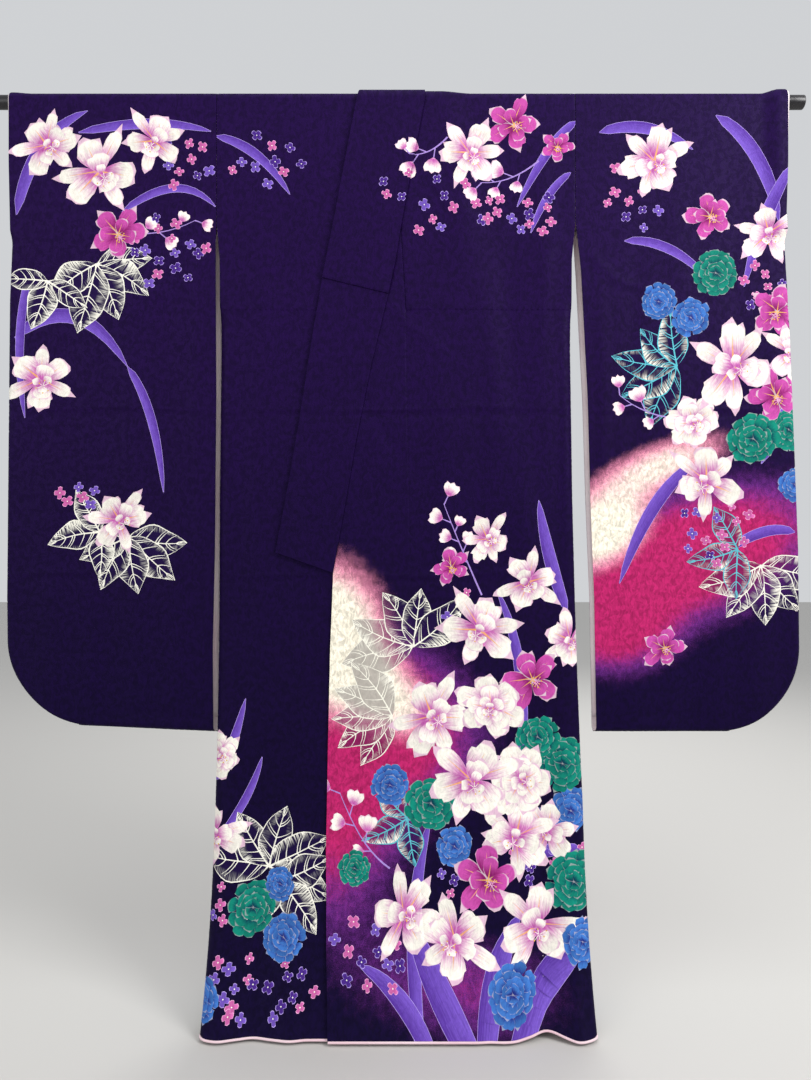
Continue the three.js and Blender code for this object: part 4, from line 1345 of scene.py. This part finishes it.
def finished(piece, materials, nodes, cut=None):
    for material in materials:
        piece.data.materials.append(material)
    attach(piece, "root")
    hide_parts(*nodes)
    if cut:
        del piece["cutArea"]


# Rod

rodSizes = {"radius": 12.0, "half": 720.0, "chamfer": 1.5, "sides": 96}


def makeRod():
    r, half, chamfer, sides = (rodSizes[k] for k in ("radius", "half", "chamfer", "sides"))
    profile = [(-half, 0.01), (-half, r - chamfer), (-half + 0.5 * chamfer, r - 0.25 * chamfer),
               (-half + chamfer, r)]
    profile += [(x, r) for x in np.linspace(-half + 20, half - 20, 24)]
    profile += [(-x, radius) for x, radius in reversed(profile[:4])]
    points, faces = [], []
    for x, radius in profile:
        for k in range(sides):
            turn = 2 * math.pi * k / sides
            points.append((x, radius * math.cos(turn), radius * math.sin(turn)))
    for i in range(len(profile) - 1):
        for k in range(sides):
            p, q = i * sides + k, i * sides + (k + 1) % sides
            faces.append((p, q, q + sides, p + sides))
    faces.append(tuple(reversed(range(sides))))
    last = (len(profile) - 1) * sides
    faces.append(tuple(range(last, last + sides)))
    mesh = bpy.data.meshes.new("rod")
    mesh.from_pydata((np.array(points) * metre).tolist(), [], faces)
    mesh.polygons.foreach_set("use_smooth", np.array([len(f) == 4 for f in faces]))
    return placed("rod", mesh)


rod = makeRod()
finished(rod, [rodFinish], ["hanging_rod"])
print("rod made")


# Panels

def seamDips(name):
    # Sewn edges sink a little: the overlap's seam, the collar's seam and the back's middle.
    side = sideOf[name]
    overlap = [(side * x, down) for down, x in overlapSeam]
    collar = [(side * x, down) for down, x in collarSeam]
    edge = [(side * x, down) for down, x in bodyEdge[name]]
    return {
        "body": [(overlap, 1.6, -0.6), (collar[:5], 1.8, -0.5), ([(0, -31), (0, -1565)], 1.8, -0.6),
                 (edge[:2], 1.8, -0.5), ([(x, -d) for x, d in edge[:2]], 1.8, -0.5),
                 ([(side * 60, 370.2), (side * 312, 370.2)], 0.9, -0.3)],
        "overlap": [(overlap, 1.6, -0.6), (collar[4:], 1.8, -0.5)],
        "collar": [(collar, 1.6, -0.5)],
    }


sewn = {name: seamDips(name) for name in ("right", "left")}
tuckRows = [arc + hang["tuck"], -arc - hang["tuck"]]
storageRows = [arc + 546, arc + 835, -arc - 545, -arc - 835]
backShapes = drawBack("right") + drawBack("left")
paintings = {"right": drawRightFront() + backShapes, "left": drawLeftFront() + backShapes}

for name in ("right", "left"):
    place = bodyPlace(name)
    glow = ("leftFront" if name == "left" else None, "back")
    body = clothPiece(name + "_body_cloth", bodyOutline(name), place, paintings[name], glow,
                      tuckRows + storageRows, sewn[name]["body"])
    finished(body, [silk, paleLining], [name + "_body"], (0.33, 3.18))
    shown = paintings["left"] if name == "left" else ()
    overlap = clothPiece(name + "_overlap_cloth", overlapOutline(name), overlapPlace(name), shown,
                         ("leftFront", None) if name == "left" else None, storageRows,
                         sewn[name]["overlap"])
    finished(overlap, [silk, paleLining], [name + "_overlap"], (0.19, 1.345))

for name, draw in (("right", drawRightSleeve), ("left", drawLeftSleeve)):
    glow = ("leftSleeve", "leftSleeveBack") if name == "left" else None
    sleeve = clothPiece(name + "_sleeve_cloth", sleeveOutline(name), sleevePlace(name),
                        draw(1) + draw(-1), glow, storageRows)
    finished(sleeve, [silk, paleLining], [name + "_sleeve"], (0.40, 2.27))

underBack = [(8, 50), (15, 47), (22, 39), (26.5, 25)]
overBack = [(7, 46), (14, 44)]
overCollarBack = [(10, 49), (20, 41), (25, 30)]
underArm = clothPiece("under_collar_cloth", collarOutline("right", len(collarRows) - 1, underBack),
                      layerPlace(0), dips=sewn["right"]["collar"])
finished(underArm, [silk, silk], ["collar"], (0.13, 0.93))
overArm = clothPiece("collar_cloth", collarOutline("left", len(collarRows) - 1, overBack),
                     layerPlace(layers["collar"]), paintings["left"], dips=sewn["left"]["collar"])
finished(overArm, [silk, silk], ["collar"], (0.13, 0.92))
overCollar = clothPiece("over_collar_cloth", collarOutline("left", overCollarEnd, overCollarBack),
                        layerPlace(layers["overCollar"]), paintings["left"],
                        dips=[([(-129, 315), (-13, 343)], 2.0, -0.5)])
finished(overCollar, [silk, silk], ["over_collar"], (0.125, 0.42))


# Linings

lining = {"in": 1.25, "thick": 0.5}     # how far its middle lies inside the panel's


def liningStrip(name, place, xs, runs):
    middle = place(xs.ravel(), runs.ravel())
    outward = facing(place, xs.ravel(), runs.ravel())
    return stripPiece(name, middle - outward * lining["in"], outward, xs.shape, lining["thick"])


for name in ("right", "left"):
    side = sideOf[name]
    sleeve = sleevePlace(name)
    for face, end in ((1, "front"), (-1, "back")):
        drops = np.linspace(222, 1088, 88)
        inner = innerEdge(name, drops, face)
        xs = side * np.stack([inner + w for w in np.linspace(0.3, 46, 8)], axis=1)
        runs = np.repeat((face * (drops + arc))[:, None], 8, axis=1)
        strip = liningStrip(f"{name}_sleeve_{end}_lining", sleeve, xs, runs)
        finished(strip, [paleLining], [f"{name}_sleeve_lining_{end}"], (0.05, 0.875))
    runs = np.concatenate([np.linspace(arc + 224, arc, 24), np.linspace(arc, -arc, 16)[1:-1],
                           np.linspace(-arc, -arc - 224, 24)])
    outer = sleeveEdge(name, np.maximum(np.abs(runs) - arc, 0))
    xs = side * np.stack([outer - w for w in np.linspace(0.4, 30, 6)], axis=1)
    cuff = liningStrip(name + "_cuff_strip", sleeve, xs, np.repeat(runs[:, None], 6, axis=1))
    finished(cuff, [paleLining], [name + "_cuff_lining"], (0.035, 0.50))

    body = bodyPlace(name)
    overlap = overlapPlace(name)
    drops = np.linspace(1563.6, 1458, 16)
    inner, seam, outer = (read(rows, drops)[:, None] for rows in (frontEdge, overlapSeam, bodyEdge[name]))
    bands = [
        (overlap, 1, inner + 0.6 + (seam - inner - 1.6) * np.linspace(0, 1, 22)),
        (body, 1, outer - (outer - seam) * np.linspace(1, 0, 40) ** 1.3),
        (body, -1, outer - (outer - 0.5) * np.linspace(0, 1, 46)[1:] ** 1.3),
    ]
    middles, outs = [], []
    for place, face, xs in bands:
        spots = ((side * xs).ravel(), np.repeat(face * (drops + arc), xs.shape[1]))
        middles.append(place(*spots).reshape(len(drops), -1, 3))
        outs.append(facing(place, *spots).reshape(len(drops), -1, 3))
    middles, outs = (np.concatenate(rows, axis=1) for rows in (middles, outs))
    hem = stripPiece(name + "_hem_strip", (middles - outs * lining["in"]).reshape(-1, 3),
                     outs.reshape(-1, 3), middles.shape[:2], lining["thick"])
    finished(hem, [pinkLining], [name + "_hem_lining"], (0.90, 0.115))
print("linings made")


# Rolled hem edges

rolledHem = {"radius": 2.1, "gather": 0.16, "gatherEvery": 11.0, "step": 2.2, "seed": 4}


def rolledHemTree():
    tree = bpy.data.node_groups.new("rolled_hem", "GeometryNodeTree")
    sockets = tree.interface
    sockets.new_socket("Geometry", in_out="INPUT", socket_type="NodeSocketGeometry")
    sizes = [("Radius", 0.002), ("Gather", 0.1), ("Gather Size", 90.0), ("Step", 0.002), ("Seed", 1.0)]
    for label, value in sizes:
        sockets.new_socket(label, in_out="INPUT", socket_type="NodeSocketFloat").default_value = value
    sockets.new_socket("Finish", in_out="INPUT", socket_type="NodeSocketMaterial")
    sockets.new_socket("Geometry", in_out="OUTPUT", socket_type="NodeSocketGeometry")

    def add(kind, settings, links):
        node = tree.nodes.new(kind)
        for key, value in settings.items():
            setattr(node, key, value)
        for key, value in links.items():
            if isinstance(value, bpy.types.NodeSocket):
                tree.links.new(value, node.inputs[key])
            else:
                node.inputs[key].default_value = value
        return node
    given = tree.nodes.new("NodeGroupInput").outputs
    path = add("GeometryNodeMeshToCurve", {}, {"Mesh": given["Geometry"]})
    even = add("GeometryNodeResampleCurve", {"mode": "LENGTH"},
               {"Curve": path.outputs[0], "Length": given["Step"]})
    spot = tree.nodes.new("GeometryNodeInputPosition").outputs[0]
    waves = add("ShaderNodeTexNoise", {"noise_dimensions": "4D"},
                {"Vector": spot, "Scale": given["Gather Size"], "W": given["Seed"], "Detail": 2.0})
    centred = add("ShaderNodeMath", {"operation": "SUBTRACT"}, {0: waves.outputs[0], 1: 0.5})
    scaled = add("ShaderNodeMath", {"operation": "MULTIPLY_ADD"},
                 {0: centred.outputs[0], 1: given["Gather"], 2: 0.94})
    thick = add("ShaderNodeMath", {"operation": "MULTIPLY"}, {0: scaled.outputs[0], 1: given["Radius"]})
    ring = add("GeometryNodeCurvePrimitiveCircle", {}, {"Resolution": 14, "Radius": 1.0})
    rolled = add("GeometryNodeCurveToMesh", {}, {
        "Curve": even.outputs[0], "Profile Curve": ring.outputs[0], "Fill Caps": True,
        "Scale": thick.outputs[0]})
    real = add("GeometryNodeRealizeInstances", {}, {"Geometry": rolled.outputs[0]})
    soft = add("GeometryNodeSetShadeSmooth", {}, {"Geometry": real.outputs[0], "Shade Smooth": True})
    tube = add("GeometryNodeSetMaterial", {}, {"Geometry": soft.outputs[0], "Material": given["Finish"]})
    add("NodeGroupOutput", {}, {0: tube.outputs[0]})
    return tree


hemTree = rolledHemTree()


def hemPath(name):
    side = sideOf[name]
    overlap = overlapPlace(name)
    body = bodyPlace(name)
    drop = hang["hem"]
    inner, seam, outer = read(frontEdge, drop), read(overlapSeam, drop), read(bodyEdge[name], drop)
    stations = [(overlap, 1, x) for x in np.linspace(inner + 1, seam - 2, 24)]
    stations += [(body, 1, x) for x in outer - (outer - seam) * np.linspace(1, 0.0, 44) ** 1.4]
    stations += [(body, -1, x) for x in outer - (outer - 1) * np.linspace(0.0, 1, 50)[1:] ** 1.4]
    path = []
    for place, face, x in stations:
        spots = place(np.full(2, side * x), face * (np.array([drop, drop - 6.0]) + arc))
        way = (spots[0] - spots[1]) / np.linalg.norm(spots[0] - spots[1])
        path.append(spots[0] + way * (rolledHem["radius"] + 0.1))
    return np.array(path) * metre


for name in ("right", "left"):
    route = hemPath(name)
    mesh = bpy.data.meshes.new(name + "_hem_route")
    mesh.from_pydata(route.tolist(), [(k, k + 1) for k in range(len(route) - 1)], [])
    guide = placed(name + "_hem_route", mesh)
    change = guide.modifiers.new("roll", "NODES")
    change.node_group = hemTree
    inputs = {item.name: item.identifier for item in hemTree.interface.items_tree if item.in_out == "INPUT"}
    change[inputs["Radius"]] = rolledHem["radius"] * metre
    change[inputs["Gather"]] = rolledHem["gather"]
    change[inputs["Gather Size"]] = 1000.0 / rolledHem["gatherEvery"]
    change[inputs["Step"]] = rolledHem["step"] * metre
    change[inputs["Seed"]] = float(rolledHem["seed"])
    change[inputs["Finish"]] = rolledEdge
    ready = guide.evaluated_get(bpy.context.evaluated_depsgraph_get())
    roll = bpy.data.meshes.new_from_object(ready)
    guide.modifiers.remove(change)
    bpy.data.objects.remove(guide)
    roll.name = name + "_rolled_hem"
    piece = placed(name + "_rolled_hem", roll)
    finished(piece, [] if roll.materials else [rolledEdge], [name + "_hem_piping"])
    print(piece.name, len(roll.polygons), "faces")


# Floor, light and camera

def stageSheet(name, corners, colour):
    mesh = bpy.data.meshes.new(name)
    mesh.from_pydata(corners, [], [(0, 1, 2, 3)])
    sheet = placed(name, mesh)
    finish = Finish(name, colour, 0.85)
    mesh.materials.append(finish.material)


floorZ = cadBounds[0][2] - 0.004
stageSheet("floor", [(-9, -9, floorZ), (9, -9, floorZ), (9, 9, floorZ), (-9, 9, floorZ)], dye(196, 194, 190))

lights = [      # name, place, what it faces, size, power
    ("key", (2.1, -1.5, 0.9), (0.0, 0.0, -0.6), 1.3, 62),
    ("fill", (-1.9, -2.2, 0.0), (0.0, 0.0, -0.8), 1.8, 18),
    ("above", (0.0, -0.9, 1.7), (0.0, 0.2, -0.6), 1.6, 12),
    ("behind", (0.6, 2.4, 0.9), (0.0, 0.0, -0.7), 1.8, 42),
]
for label, spot, aim, size, power in lights:
    data = bpy.data.lights.new(label, "AREA")
    data.size = size
    data.energy = power
    lamp = placed(label, data)
    lamp.location = spot
    way = np.array(aim) - np.array(spot)
    lamp.rotation_euler = (math.atan2(math.hypot(way[0], way[1]), -way[2]), 0, math.atan2(-way[0], way[1]))

world = bpy.data.worlds.new("studio")
bpy.context.scene.world = world
bpy.context.scene.view_settings.view_transform = "Standard"
world.use_nodes = True
background = world.node_tree.nodes["Background"].inputs
background["Color"].default_value = (0.95, 0.97, 1.0, 1)
background["Strength"].default_value = 0.66

cameraData = bpy.data.cameras.new("camera")
cameraData.sensor_width = 36
cameraData.lens = 27.03
cameraData.sensor_fit = "AUTO"
camera = placed("camera", cameraData)
camera.location = (0.0166, -1.434, -0.7737)         # as the photo was taken, level and close
camera.rotation_euler = (math.pi / 2, 0, 0)
bpy.context.scene.camera = camera
print("stage, lights and camera set")
